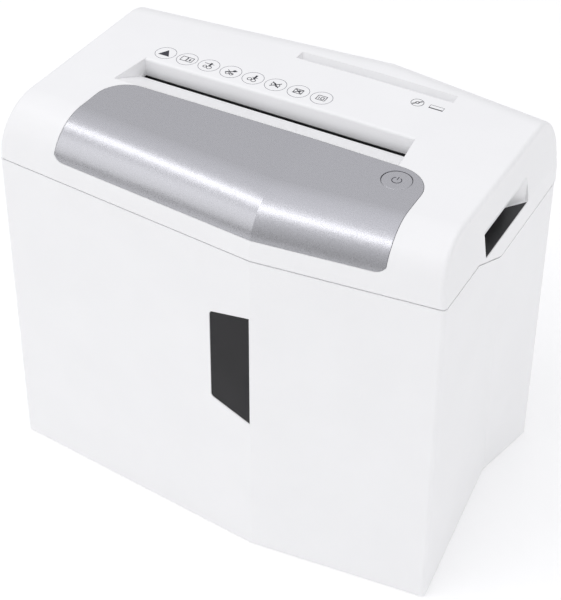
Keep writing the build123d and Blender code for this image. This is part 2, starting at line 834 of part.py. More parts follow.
with BuildPart() as paper_guide_front:
    extrude(plate_section(guide_front_line, guide_thickness, feed_x), amount=guide_width / 2, both=True)
    ear_circles = (
        (lever_pivot, lever_hub + ear_rim),
        (line_at(guide_front_line, lever_z + ear_reach), ear_root),
        (line_at(guide_front_line, lever_z - ear_reach), ear_root),
    )
    extrude(wrapped(Plane.YZ.offset(feed_x), ear_circles), amount=ear_middle, both=True)
    with BuildSketch(Plane.YZ.offset(feed_x)):
        with Locations((lever_y, lever_z + (lever_slot[0] + lever_slot[1]) / 2)):
            Rectangle(3 * overrun, lever_slot[1] - lever_slot[0])
    extrude(amount=lever_half + ear_gap, both=True, mode=Mode.SUBTRACT)
    with Locations(Plane.YZ.offset(feed_x) * Location(lever_pivot)):
        Cylinder(lever_pin + running_gap, 2 * overrun, mode=Mode.SUBTRACT)

with BuildPart() as paper_lever:
    for arm in (lever_tip, lever_tail):
        arm_end = (lever_y + arm[0], lever_z + arm[1])
        arm_circles = ((lever_pivot, lever_hub), (arm_end, lever_end))
        extrude(wrapped(Plane.YZ.offset(feed_x), arm_circles), amount=lever_half, both=True)
    with Locations(Plane.YZ.offset(feed_x) * Location(lever_pivot)):
        Cylinder(lever_pin, 2 * ear_middle - pin_play)

with BuildPart() as paper_switch:
    with Locations((feed_x + ear_middle, lever_y, lever_z)):
        Box(*paper_switch_size, align=(Align.MIN, Align.CENTER, Align.CENTER))
    nub_x = feed_x + ear_middle + paper_switch_size[0] / 2
    with Locations((nub_x, lever_y - paper_switch_size[1] / 2, lever_z)):
        Box(*paper_switch_nub, align=(Align.CENTER, Align.MAX, Align.CENTER))


# ================================================================ gears
def involute(angle):
    """The involute function."""
    return math.tan(angle) - angle


def tooth_points(teeth, module):
    """One side-on tooth, pointing along +X, as points from its root to its tip and back."""
    pitch = teeth * module / 2
    base = pitch * math.cos(pressure_angle)
    root = pitch - dedendum * module
    half_pitch_angle = (math.pi * module - backlash) / (4 * pitch)
    tip = addendum * module
    flank = []
    for radius in (root - tooth_sink, max(root, base), pitch, pitch + tip / 2, pitch + tip):
        slope = math.acos(base / max(radius, base))
        flank.append((radius, half_pitch_angle + involute(pressure_angle) - involute(slope)))
    right = [(r * math.cos(a), -r * math.sin(a)) for r, a in flank]
    left = [(r * math.cos(a), r * math.sin(a)) for r, a in reversed(flank)]
    return right + left


def gear_face(x, centre, teeth, module, phase):
    """A spur gear's face at a place along the shafts, with a tooth at angle phase."""
    with BuildSketch(Plane.YZ.offset(x)) as face:
        with Locations(centre):
            Circle(teeth * module / 2 - dedendum * module)
            with PolarLocations(0, teeth, start_angle=math.degrees(phase)):
                Polygon(*tooth_points(teeth, module), align=None)
    return face.sketch


def mesh_phase(phase, teeth, direction, next_teeth):
    """The phase that puts the next gear's gap on this gear's tooth, along direction."""
    here = (direction - phase) * teeth / (2 * math.pi)
    return direction + math.pi - (0.5 - here) * 2 * math.pi / next_teeth


def direction_to(start, end):
    """The angle from one centre to another."""
    return math.atan2(end[1] - start[1], end[0] - start[0])


def reach(teeth_a, teeth_b, module):
    """The centre distance of two meshed gears."""
    return (teeth_a + teeth_b) * module / 2


motor_centre = (motor_y, motor_z)
front_centre = (front_shaft_y, shaft_z)
rear_centre = (rear_shaft_y, shaft_z)
first_reach = reach(pinion_teeth, first_big_teeth, first_module)
first_angle = math.radians(first_gear_angle)
first_centre = (motor_y + first_reach * math.cos(first_angle), motor_z + first_reach * math.sin(first_angle))
second_reach = reach(first_small_teeth, second_big_teeth, second_module)
drive_reach = reach(second_small_teeth, drive_teeth, drive_module)
gap_length = math.dist(first_centre, front_centre)
along = (second_reach**2 - drive_reach**2 + gap_length**2) / (2 * gap_length)
aside = math.sqrt(second_reach**2 - along**2)
gap_angle = direction_to(first_centre, front_centre)
second_centre = (
    first_centre[0] + along * math.cos(gap_angle) - aside * math.sin(gap_angle),
    first_centre[1] + along * math.sin(gap_angle) + aside * math.cos(gap_angle),
)

to_second = direction_to(front_centre, second_centre)
to_first = direction_to(second_centre, first_centre)
to_motor = direction_to(first_centre, motor_centre)
second_small_phase = mesh_phase(0.0, drive_teeth, to_second, second_small_teeth)
first_small_phase = mesh_phase(0.0, second_big_teeth, to_first, first_small_teeth)
pinion_phase = mesh_phase(0.0, first_big_teeth, to_motor, pinion_teeth)
rear_sync_phase = mesh_phase(0.0, sync_teeth, 0.0, sync_teeth)

first_big_x = gear_face_x + first_gap
first_small_x = first_big_x + first_big_width
second_big_x = first_small_x + wheel_gap
second_small_x = second_big_x + second_big_width
drive_x = second_small_x + wheel_gap
cover_end_x = gear_face_x + gear_cover_depth
sync_x = left_plate_x - sync_gear_offset


def bored(centre, radius):
    """Cut a round hole along X through the whole piece."""
    with Locations(Plane.YZ * Location((*centre, 0))):
        Cylinder(radius, 2 * outline_reach, mode=Mode.SUBTRACT)


with BuildPart() as first_gear:
    extrude(gear_face(first_big_x, first_centre, first_big_teeth, first_module, 0.0), amount=first_big_width)
    small_face = gear_face(first_small_x, first_centre, first_small_teeth, second_module, first_small_phase)
    extrude(small_face, amount=first_small_width)
    bored(first_centre, axle_radius + running_gap)

with BuildPart() as second_gear:
    big_face = gear_face(second_big_x, second_centre, second_big_teeth, second_module, 0.0)
    extrude(big_face, amount=second_big_width)
    hub_face = gear_face(second_small_x, second_centre, second_small_teeth, drive_module, second_small_phase)
    extrude(hub_face, amount=second_small_width)
    bored(second_centre, axle_radius + running_gap)

with BuildPart() as drive_gear:
    extrude(gear_face(drive_x, front_centre, drive_teeth, drive_module, 0.0), amount=drive_width)
    bored(front_centre, journal_radius)

with BuildPart() as front_sync_gear:
    extrude(gear_face(sync_x, front_centre, sync_teeth, sync_module, 0.0), amount=-sync_gear_width)
    bored(front_centre, journal_radius)

with BuildPart() as rear_sync_gear:
    extrude(gear_face(sync_x, rear_centre, sync_teeth, sync_module, rear_sync_phase), amount=-sync_gear_width)
    bored(rear_centre, journal_radius)

with BuildPart() as motor_pinion:
    extrude(
        gear_face(first_big_x - pinion_overhang, motor_centre, pinion_teeth, first_module, pinion_phase),
        amount=first_big_width + 2 * pinion_overhang,
    )
    bored(motor_centre, motor_shaft_radius)

with BuildPart() as gear_axles:
    for centre in (first_centre, second_centre):
        with Locations(Plane.YZ.offset(right_plate_x) * Location(centre)):
            Cylinder(axle_radius, cover_end_x - right_plate_x, align=onwards)

with BuildPart() as gearbox_cover:
    cover_circles = (
        (motor_centre, pinion_teeth * first_module / 2 + gear_cover_room[0]),
        (first_centre, first_big_teeth * first_module / 2 + gear_cover_room[1]),
        (second_centre, second_big_teeth * second_module / 2 + gear_cover_room[2]),
        (front_centre, drive_teeth * drive_module / 2 + gear_cover_room[3]),
    )
    extrude(wrapped(Plane.YZ.offset(gear_face_x), cover_circles), amount=gear_cover_depth)
    fillet(gearbox_cover.faces().sort_by(Axis.X)[-1].edges(), gear_cover_round)
    inner_circles = [(place, radius - gear_cover_wall) for place, radius in cover_circles]
    extrude(
        wrapped(Plane.YZ.offset(gear_face_x), inner_circles),
        amount=gear_cover_depth - gear_cover_wall,
        mode=Mode.SUBTRACT,
    )
    for centre in (first_centre, second_centre):
        bored(centre, axle_radius)

# ================================================================ cutting unit
disc_thickness = cutter_pitch / 2 - cutter_gap
disc_count = int(feed_width / cutter_pitch)
shaft_left_x = sync_x - sync_gear_width - shaft_overhang
front_shaft_end = drive_x + drive_width + shaft_overhang
rear_shaft_end = gear_face_x - rear_shaft_short


def roller(y, first_disc, end_x):
    """A cutter roller: notched discs and spacers in one piece with the shaft."""
    level = Plane(origin=(0, y, shaft_z), x_dir=(1, 0, 0), z_dir=(0, 0, 1))
    outline = [
        (shaft_left_x, 0),
        (shaft_left_x, journal_radius),
        (feed_left_x, journal_radius),
        (feed_left_x, spacer_radius),
    ]
    for index in range(disc_count):
        start = feed_left_x + first_disc + index * cutter_pitch
        outline += [
            (start, spacer_radius),
            (start, cutter_radius),
            (start + disc_thickness, cutter_radius),
            (start + disc_thickness, spacer_radius),
        ]
    outline += [
        (feed_right_x, spacer_radius),
        (feed_right_x, journal_radius),
        (end_x, journal_radius),
        (end_x, 0),
    ]
    with BuildPart() as body:
        with BuildSketch(level):
            with BuildLine():
                Polyline(*outline, close=True)
            make_face()
        revolve(axis=Axis((0, y, shaft_z), (1, 0, 0)), revolution_arc=360)
        cuts = []
        for index in range(disc_count):
            middle = feed_left_x + first_disc + disc_thickness / 2 + index * cutter_pitch
            disc_plane = Plane.YZ.offset(middle) * Location((y, shaft_z))
            for turn in range(notches):
                angle = index * notch_step + turn * 360 / notches
                cuts.append(disc_plane * Rotation(0, 0, angle) * Pos(cutter_radius, 0, 0))
        with Locations(*cuts):
            Box(notch_size, notch_size, disc_thickness + cutter_gap / 2, mode=Mode.SUBTRACT)
    return body


front_cutter = roller(front_shaft_y, cutter_gap / 2, front_shaft_end)
rear_cutter = roller(rear_shaft_y, cutter_pitch / 2 + cutter_gap / 2, rear_shaft_end)


def comb(side, first_finger, shaft_y):
    """A bar whose fingers reach between one roller's discs and strip them clean."""
    bar_inner = shaft_y + side * (cutter_radius + comb_clearance)
    finger_end = shaft_y + side * comb_reach
    finger_width = cutter_pitch - disc_thickness - 2 * free_gap
    middle = (bar_inner + finger_end) / 2
    first_x = feed_left_x + first_finger
    with BuildPart() as body:
        with Locations((feed_x, bar_inner + side * comb_bar / 2, shaft_z)):
            Box(guide_width, comb_bar, comb_height)
        with Locations(*[(first_x + n * cutter_pitch, middle, shaft_z) for n in range(disc_count)]):
            Box(finger_width, abs(bar_inner - finger_end) + comb_lap, comb_height)
        with Locations(Plane.YZ.offset(feed_x) * Location((shaft_y, shaft_z))):
            Cylinder(spacer_radius + comb_gap, 2 * feed_width, mode=Mode.SUBTRACT)
    return body


comb_front = comb(-1, 0.75 * cutter_pitch, front_shaft_y)
comb_rear = comb(1, 0.25 * cutter_pitch, rear_shaft_y)


def plate_face(x):
    """A side plate's plain outline."""
    with BuildSketch(Plane.YZ.offset(x)) as face:
        with Locations(((plate_y[0] + plate_y[1]) / 2, (plate_z[0] + plate_z[1]) / 2)):
            RectangleRounded(plate_y[1] - plate_y[0], plate_z[1] - plate_z[0], plate_corner)
    return face.sketch


with BuildPart() as side_plate:
    extrude(plate_face(left_plate_x), amount=plate_thickness)
    for centre in (front_centre, rear_centre):
        bored(centre, journal_radius + bush_wall)
    for place in rod_places:
        bored(place, screw_radius)

bell_screws = [(motor_y - motor_screw_reach, motor_z), (motor_y + motor_screw_reach, motor_z)]

with BuildPart() as gear_plate:
    extrude(plate_face(right_plate_x), amount=plate_thickness)
    with BuildSketch(Plane.YZ.offset(right_plate_x)):
        with Locations((mount_y[0], motor_z)):
            RectangleRounded(
                mount_y[1] - mount_y[0],
                2 * (motor_radius + motor_margin),
                plate_corner,
                align=(Align.MIN, Align.CENTER),
            )
    extrude(amount=plate_thickness)
    for centre in (front_centre, rear_centre):
        bored(centre, journal_radius + bush_wall)
    for centre in (first_centre, second_centre):
        bored(centre, axle_radius)
    bored(motor_centre, motor_boss)
    for place in (*rod_places, *bell_screws):
        bored(place, screw_radius)

rod_length = right_plate_x - left_plate_x - plate_thickness
thread_depth = screw_length - plate_thickness
with BuildPart() as tie_rods:
    rod_left_x = left_plate_x + plate_thickness
    with Locations(*[Plane.YZ.offset(rod_left_x) * Location(place) for place in rod_places]):
        Cylinder(rod_radius, rod_length, align=onwards)
        Cylinder(screw_radius, thread_depth, align=onwards, mode=Mode.SUBTRACT)
    with Locations(*[Plane.YZ.offset(right_plate_x) * Location(place) for place in rod_places]):
        Cylinder(screw_radius, thread_depth, align=backwards, mode=Mode.SUBTRACT)


def screws(places, length):
    """Cap screws, each at the plane whose +Z points along its shank, from under its head."""
    with BuildPart() as group:
        with Locations(*places):
            Cylinder(screw_radius, length, align=onwards)
            Cylinder(screw_head_radius, screw_head_height, align=backwards)
            with Locations((0, 0, -screw_head_height)):
                Box(screw_recess[0], screw_recess[1], screw_recess[2], mode=Mode.SUBTRACT)
                Box(screw_recess[1], screw_recess[0], screw_recess[2], mode=Mode.SUBTRACT)
    return group


facing_left = Rotation(0, 180, 0)
rod_screws = screws(
    [Plane.YZ.offset(left_plate_x) * Location(place) for place in rod_places]
    + [Plane.YZ.offset(gear_face_x) * Location(place) * facing_left for place in rod_places],
    screw_length,
)
motor_screws = screws(
    [Plane.YZ.offset(gear_face_x) * Location(place) * facing_left for place in bell_screws],
    plate_thickness + motor_screw_bite,
)
cover_screws = screws([Location((x, y, flange_bottom)) for x, y in boss_places], screw_length)

with BuildPart() as shaft_bushes:
    for centre in (front_centre, rear_centre):
        with Locations(Plane.YZ.offset(left_plate_x) * Location(centre)):
            Cylinder(journal_radius + bush_wall, plate_thickness, align=onwards)
        with Locations(Plane.YZ.offset(left_plate_x + plate_thickness) * Location(centre)):
            Cylinder(journal_radius + bush_wall + bush_rim, bush_flange, align=onwards)
        with Locations(Plane.YZ.offset(right_plate_x) * Location(centre)):
            Cylinder(journal_radius + bush_wall, plate_thickness, align=onwards)
            Cylinder(journal_radius + bush_wall + bush_rim, bush_flange, align=backwards)
        bored(centre, journal_radius + running_gap)


def ring(centre, x):
    """A retaining ring around a shaft's end."""
    with Locations(Plane.YZ.offset(x) * Location(centre)):
        Cylinder(journal_radius + ring_rim, ring_thickness, align=onwards)
        Cylinder(journal_radius, ring_thickness, align=onwards, mode=Mode.SUBTRACT)


with BuildPart() as front_rings:
    ring(front_centre, sync_x - sync_gear_width - ring_thickness)
    ring(front_centre, drive_x + drive_width)

with BuildPart() as rear_ring:
    ring(rear_centre, sync_x - sync_gear_width - ring_thickness)

# ================================================================ motor
bell_x = right_plate_x - bell_thickness
can_left_x = bell_x - motor_length

with BuildPart() as motor_can:
    with Locations(Plane.YZ.offset(can_left_x) * Location(motor_centre)):
        Cylinder(motor_radius, motor_length, align=onwards)
        Cylinder(motor_boss, 2 * bell_thickness, align=(Align.CENTER, Align.CENTER, Align.CENTER))
    with Locations(Plane.YZ.offset(can_left_x + bell_thickness) * Location(motor_centre)):
        Cylinder(motor_radius - motor_wall, motor_length, align=onwards, mode=Mode.SUBTRACT)
    with Locations(Plane.YZ.offset(can_left_x - bearing_blind) * Location(motor_centre)):
        Cylinder(motor_shaft_radius + running_gap, overrun, align=onwards, mode=Mode.SUBTRACT)

with BuildPart() as motor_end_bell:
    with Locations(Plane.YZ.offset(bell_x) * Location(motor_centre)):
        Cylinder(motor_radius, bell_thickness, align=onwards)
    with Locations(Plane.YZ.offset(right_plate_x) * Location(motor_centre)):
        Cylinder(motor_boss, plate_thickness, align=onwards)
    bored(motor_centre, motor_shaft_radius + running_gap)
    for place in bell_screws:
        bored(place, screw_radius)

with BuildPart() as motor_magnets:
    with BuildSketch(Plane.YZ.offset(can_left_x + magnet_start)):
        with Locations(motor_centre):
            Circle(motor_radius - motor_wall)
            Circle(motor_radius - motor_wall - magnet_thickness, mode=Mode.SUBTRACT)
            Rectangle(magnet_split, 3 * motor_radius, mode=Mode.SUBTRACT)
    extrude(amount=magnet_length)

core_start = rotor_core[0] - rotor_taper
core_end = rotor_core[1] + rotor_taper
rotor_profile = (
    (0, motor_shaft_radius),
    (core_start, motor_shaft_radius),
    (core_start, rotor_radius - rotor_taper),
    (rotor_core[0], rotor_radius),
    (rotor_core[1], rotor_radius),
    (core_end, rotor_radius - rotor_taper),
    (core_end, commutator_radius),
    (core_end + commutator_length, commutator_radius),
    (core_end + commutator_length, motor_shaft_radius),
)
with BuildPart() as motor_rotor:
    with BuildSketch(Plane(origin=(can_left_x, motor_y, motor_z), x_dir=(1, 0, 0), z_dir=(0, 0, 1))):
        with BuildLine():
            shaft_end = first_big_x + first_big_width + pinion_overhang - can_left_x
            Polyline((0, 0), *rotor_profile, (shaft_end, motor_shaft_radius), (shaft_end, 0), close=True)
        make_face()
    revolve(axis=Axis((0, motor_y, motor_z), (1, 0, 0)), revolution_arc=360)
    with Locations(Plane.YZ.offset(can_left_x + (core_start + core_end) / 2) * Location(motor_centre)):
        with PolarLocations(rotor_radius, rotor_slots):
            Box(*rotor_slot, core_end - core_start + rotor_taper, mode=Mode.SUBTRACT)

# ================================================================ head base
flange_inset = head_wall + flange_gap
flange_side = seam_width / 2 - (seam_width - top_width) / 2 * (flange_top - seam_height) / head_height
flange_xs = (-flange_side + flange_inset, crease_x * seam_share, flange_side - flange_inset)
with BuildPart() as base_flange:
    with BuildSketch(Plane.XY.offset(flange_bottom)) as flange_outline:
        with BuildLine():
            Polyline(
                *[(x, -seam_corner_y - crease_reach(x) + flange_inset) for x in flange_xs],
                *[(x, corner_y + crease_reach(x) - flange_inset) for x in reversed(flange_xs)],
                close=True,
            )
        make_face()
        fillet([v for v in flange_outline.vertices() if abs(v.X) > liner_room_x], corner_round)
        for side in (-1, 1):
            with Locations((side * liner_room_x, grip_middle_y)):
                Rectangle(
                    outline_reach,
                    grip_rear_y - grip_front_y + 2 * head_wall + 2 * free_gap,
                    align=(Align.MIN if side > 0 else Align.MAX, Align.CENTER),
                    mode=Mode.SUBTRACT,
                )
    extrude(amount=flange_thickness)

with BuildPart() as head_base:
    with BuildSketch(Plane.XY.offset(base_floor)):
        with Locations(base_middle):
            RectangleRounded(base_length, base_depth, base_round)
    extrude(amount=flange_bottom - base_floor)
    fillet(head_base.edges().group_by(Axis.Z)[0], base_edge_round)
    add(base_flange.part)
    with BuildSketch(Plane.XY.offset(base_floor + base_wall)):
        with Locations(base_middle):
            RectangleRounded(base_length - 2 * base_wall, base_depth - 2 * base_wall, base_round - base_wall)
    extrude(amount=flange_top, mode=Mode.SUBTRACT)
    pad_z = base_floor + base_wall
    for x in (left_plate_x + plate_thickness / 2, right_plate_x + plate_thickness / 2):
        with Locations((x, plate_y[0] + pad_inset, pad_z), (x, plate_y[1] - pad_inset, pad_z)):
            Box(*pad_size, plate_z[0] - pad_z, align=onwards)
    with Locations((feed_x, nip_y, base_floor)):
        Box(feed_width, shaft_distance + 2 * outlet_margin, overrun, mode=Mode.SUBTRACT)
    with Locations(((can_left_x + bell_x) / 2, motor_y, base_floor)):
        with GridLocations(vent_pitch, 0, vent_count, 1):
            Box(vent_width, vent_length, overrun, mode=Mode.SUBTRACT)
    for side in (-1, 1):
        with Locations((side * foot_x, -seam_corner_y + foot_inset, flange_bottom)):
            Box(
                foot_size,
                foot_size,
                flange_bottom - seam_height + ledge_depth,
                align=backwards,
            )
        with Locations((side * foot_x, corner_y - foot_inset, flange_bottom)):
            Box(
                foot_size,
                foot_size,
                flange_bottom - rear_seam_height + ledge_depth,
                align=backwards,
            )
    with Locations(*[(x, y, flange_bottom) for x, y in boss_places]):
        Cylinder(screw_radius + screw_play, overrun, mode=Mode.SUBTRACT)

# ================================================================ boards, switches and cord inlet


def board(places, top):
    """A circuit board whose corners lie under its posts."""
    xs = [x for x, _ in places]
    ys = [y for _, y in places]
    with BuildPart() as body:
        with Locations(((min(xs) + max(xs)) / 2, (min(ys) + max(ys)) / 2, top)):
            Box(
                max(xs) - min(xs) + 2 * board_margin,
                max(ys) - min(ys) + 2 * board_margin,
                board_thickness,
                align=backwards,
            )
    return body


main_board = board(board_posts, main_board_top)
button_board = board(button_posts, button_board_top)

with BuildPart() as button_switch:
    with Locations((button_x, button_y, button_board_top)):
        Box(switch_size, switch_size, switch_height - plunger_height, align=onwards)
        Cylinder(plunger_radius, switch_height, align=onwards)

with BuildPart() as capacitor:
    with Locations((*capacitor_place, main_board_top)):
        Cylinder(*capacitor_size, align=onwards)
    fillet(capacitor.edges().group_by(Axis.Z)[-1], capacitor_edge)

with BuildPart() as relay:
    with Locations((*relay_place, main_board_top)):
        Box(*relay_size, align=onwards)
    chamfer(relay.edges().group_by(Axis.Z)[-1], relay_edge)

with BuildPart() as terminal_block:
    with Locations((*terminal_place, main_board_top)):
        Box(*terminal_size, align=onwards)
        with GridLocations(0, terminal_pitch, 1, terminal_count):
            with Locations((-terminal_size[0] / 2, 0, terminal_mouth_z)):
                Box(*terminal_mouth, mode=Mode.SUBTRACT)

interlock_height = flange_bottom - tab_top - interlock_play
with BuildPart() as interlock_switch:
    with Locations((tab_x, tab_y - interlock_set_in, flange_bottom)):
        Box(interlock_length, interlock_depth, interlock_height - interlock_plunger[1], align=backwards)
        Cylinder(interlock_plunger[0], interlock_height, align=backwards)

with BuildPart() as cord_gland:
    with Locations(gland_plane.offset(-head_wall - gland_tail)):
        Cylinder(gland_radius, head_wall + gland_tail + gland_lip, align=onwards)
    with Locations(gland_plane):
        Cylinder(gland_radius + gland_rim, gland_lip, align=onwards)
    fillet(cord_gland.edges().filter_by(GeomType.CIRCLE).sort_by(Axis.Y)[-1], gland_edge)
    with Locations(gland_plane):
        Cylinder(gland_bore, 2 * overrun, mode=Mode.SUBTRACT)

# ================================================================ write every piece
pieces = {
    "bin_shell": bin_shell,
    "bin_window": bin_window,
    "head_cover": head_cover,
    "control_panel": control_panel,
    "power_button": power_button,
    "grip_liner_left": grip_liner_left,
    "grip_liner_right": grip_liner_right,
    "paper_guide_front": paper_guide_front,
    "paper_guide_rear": paper_guide_rear,
    "disc_guide_front": disc_guide_front,
    "disc_guide_rear": disc_guide_rear,
    "paper_lever": paper_lever,
    "paper_switch": paper_switch,
    "side_plate": side_plate,
    "gear_plate": gear_plate,
    "tie_rods": tie_rods,
    "rod_screws": rod_screws,
    "front_cutter": front_cutter,
    "rear_cutter": rear_cutter,
    "comb_front": comb_front,
    "comb_rear": comb_rear,
    "shaft_bushes": shaft_bushes,
    "front_sync_gear": front_sync_gear,
    "rear_sync_gear": rear_sync_gear,
    "drive_gear": drive_gear,
    "first_gear": first_gear,
    "second_gear": second_gear,
    "gear_axles": gear_axles,
    "gearbox_cover": gearbox_cover,
    "front_rings": front_rings,
    "rear_ring": rear_ring,
    "motor_can": motor_can,
    "motor_end_bell": motor_end_bell,
    "motor_magnets": motor_magnets,
    "motor_rotor": motor_rotor,
    "motor_pinion": motor_pinion,
    "motor_screws": motor_screws,
    "head_base": head_base,
    "cover_screws": cover_screws,
    "main_board": main_board,
    "capacitor": capacitor,
    "relay": relay,
    "terminal_block": terminal_block,
    "button_board": button_board,
    "button_switch": button_switch,
    "interlock_switch": interlock_switch,
    "cord_gland": cord_gland,
}
for name, piece in pieces.items():
    piece.part.label = name
    export_step(piece.part, f"parts/{name}.step")
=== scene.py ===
"""Looks of the paper shredder: finishes for its made parts, printed marks, floor, light and camera."""

import logging
import math
from dataclasses import dataclass, field
from enum import Enum

import bmesh
import bpy
from mathutils import Matrix, Vector


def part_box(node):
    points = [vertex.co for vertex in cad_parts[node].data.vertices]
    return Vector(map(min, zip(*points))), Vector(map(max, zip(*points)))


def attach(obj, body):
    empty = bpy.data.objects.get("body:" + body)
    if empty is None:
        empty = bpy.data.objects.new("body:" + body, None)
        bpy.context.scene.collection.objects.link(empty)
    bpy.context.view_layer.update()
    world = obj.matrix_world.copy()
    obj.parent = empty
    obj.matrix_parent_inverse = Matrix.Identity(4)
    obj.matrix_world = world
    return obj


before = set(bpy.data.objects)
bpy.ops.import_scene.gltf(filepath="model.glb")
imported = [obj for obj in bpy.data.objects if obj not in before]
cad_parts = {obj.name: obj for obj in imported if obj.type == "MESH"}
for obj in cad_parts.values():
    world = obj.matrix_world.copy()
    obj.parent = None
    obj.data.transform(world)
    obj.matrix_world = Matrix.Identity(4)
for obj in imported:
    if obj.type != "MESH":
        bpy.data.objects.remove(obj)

log = logging.getLogger("paper_shredder")

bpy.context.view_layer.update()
MM = 0.001

Colour = tuple[float, float, float, float]
Place = tuple[float, float, float]


def linear(hex_colour: str) -> Colour:
    """Turns an sRGB hex value into a linear colour.

    Args:
        hex_colour: The colour as "#rrggbb".

    Returns:
        Linear red, green, blue and an alpha of 1.
    """
    channels = (int(hex_colour[i : i + 2], 16) / 255 for i in (1, 3, 5))
    straight = (c / 12.92 if c <= 0.04045 else ((c + 0.055) / 1.055) ** 2.4 for c in channels)
    return (*straight, 1.0)


def put(
    tree: bpy.types.NodeTree,
    kind: str,
    feeds: dict[str | int, object] | None = None,
    into: dict[str, bpy.types.NodeSocket] | None = None,
    stops: tuple[tuple[float, str], ...] = (),
    **settings: object,
) -> bpy.types.Node:
    """Adds a node with its settings, input values and links.

    Args:
        tree: The node tree to add to.
        kind: The node's type.
        feeds: Input name or index to a value, or to the socket that feeds it.
        into: Output name to the socket that it feeds.
        stops: A colour ramp's positions, each with its sRGB hex colour.
        settings: The node's own properties.

    Returns:
        The new node.
    """
    node = tree.nodes.new(kind)
    for name, value in settings.items():
        setattr(node, name, value)
    for name, value in (feeds or {}).items():
        if isinstance(value, bpy.types.NodeSocket):
            tree.links.new(value, node.inputs[name])
        else:
            node.inputs[name].default_value = value
    for name, socket in (into or {}).items():
        tree.links.new(node.outputs[name], socket)
    for number, (position, colour) in enumerate(stops):
        node.color_ramp.elements[number].position = position
        node.color_ramp.elements[number].color = linear(colour)
    return node


# ---------------------------------------------------------------- finishes
@dataclass(frozen=True)
class Finish:
    """What a surface is made of, and how it takes the light."""

    name: str
    colour: str
    roughness: float
    metallic: float = 0.0
    ior: float = 1.5

    def make(self) -> bpy.types.Material:
        """Builds the material, or gives back the one already built.

        Returns:
            The finished material.
        """
        known = bpy.data.materials.get(self.name)
        if known:
            return known
        material = bpy.data.materials.new(self.name)
        material.use_nodes = True
        tree = material.node_tree
        tree.nodes.clear()
        shader = put(
            tree,
            "ShaderNodeBsdfPrincipled",
            {
                "Base Color": linear(self.colour),
                "Roughness": self.roughness,
                "Metallic": self.metallic,
                "IOR": self.ior,
            },
        )
        put(tree, "ShaderNodeOutputMaterial", {"Surface": shader.outputs["BSDF"]})
        place = put(tree, "ShaderNodeTexCoord").outputs["Object"]
        self.pattern(tree, shader, place)
        return material

    def pattern(self, tree: bpy.types.NodeTree, shader: bpy.types.Node, place: bpy.types.NodeSocket) -> None:
        """Adds the surface's own pattern; a subclass says which.

        Args:
            tree: The material's tree.
            shader: Its principled shader.
            place: Object coordinates, in metres.
        """
        raise NotImplementedError(self.name)

    def mottle(
        self,
        shader: bpy.types.Node,
        amount: bpy.types.NodeSocket,
        low: str,
        high: str,
        span: tuple[float, float] = (0.0, 1.0),
    ) -> None:
        """Lets a pattern take the surface's colour from one to another.

        Args:
            shader: The principled shader.
            amount: The pattern, from 0 to 1.
            low: Colour where the pattern is low.
            high: Colour where it is high.
            span: The part of the pattern that the change is spread over.
        """
        start, end = span
        base = {"Color": shader.inputs["Base Color"]}
        put(shader.id_data, "ShaderNodeValToRGB", {"Fac": amount}, base, stops=((start, low), (end, high)))

    def dull(self, shader: bpy.types.Node, amount: bpy.types.NodeSocket, less: float, more: float) -> None:
        """Lets a pattern change the roughness about the finish's own.

        Args:
            shader: The principled shader.
            amount: The pattern, from 0 to 1.
            less: How much smoother it is where the pattern is low.
            more: How much rougher it is where the pattern is high.
        """
        reach = {"Value": amount, "To Min": self.roughness - less, "To Max": self.roughness + more}
        put(shader.id_data, "ShaderNodeMapRange", reach, {"Result": shader.inputs["Roughness"]})


@dataclass(frozen=True)
class MouldedPlastic(Finish):
    """Injection-moulded plastic with a spark-eroded grain and slightly uneven colour."""

    worn: str = "#FFFFFF"  # colour of the faint mottling
    mottle_mm: float = 45.0
    uneven: float = 0.06
    grain_mm: float = 0.8  # real grain is about 0.1 mm; drawn coarser so that it shows
    grain_depth_mm: float = 0.006
    grain_strength: float = 0.6
    soft_edge_mm: float = 0.5  # moulded edges are never sharp

    def pattern(self, tree: bpy.types.NodeTree, shader: bpy.types.Node, place: bpy.types.NodeSocket) -> None:
        """Adds mottling, grain and soft edges (see Finish.pattern)."""
        broad = {"Vector": place, "Scale": 1 / (self.mottle_mm * MM), "Detail": 4.0}
        clouds = put(tree, "ShaderNodeTexNoise", broad).outputs["Fac"]
        self.mottle(shader, clouds, self.colour, self.worn, (0.35, 0.75))
        fine = {"Vector": place, "Scale": 1 / (self.grain_mm * MM), "Detail": 2.0}
        grain = put(tree, "ShaderNodeTexNoise", fine).outputs["Fac"]
        self.dull(shader, grain, self.uneven, self.uneven)
        edge = put(tree, "ShaderNodeBevel", {"Radius": self.soft_edge_mm * MM}, samples=4)
        put(
            tree,
            "ShaderNodeBump",
            {
                "Height": grain,
                "Distance": self.grain_depth_mm * MM,
                "Strength": self.grain_strength,
                "Normal": edge.outputs["Normal"],
            },
            {"Normal": shader.inputs["Normal"]},
        )


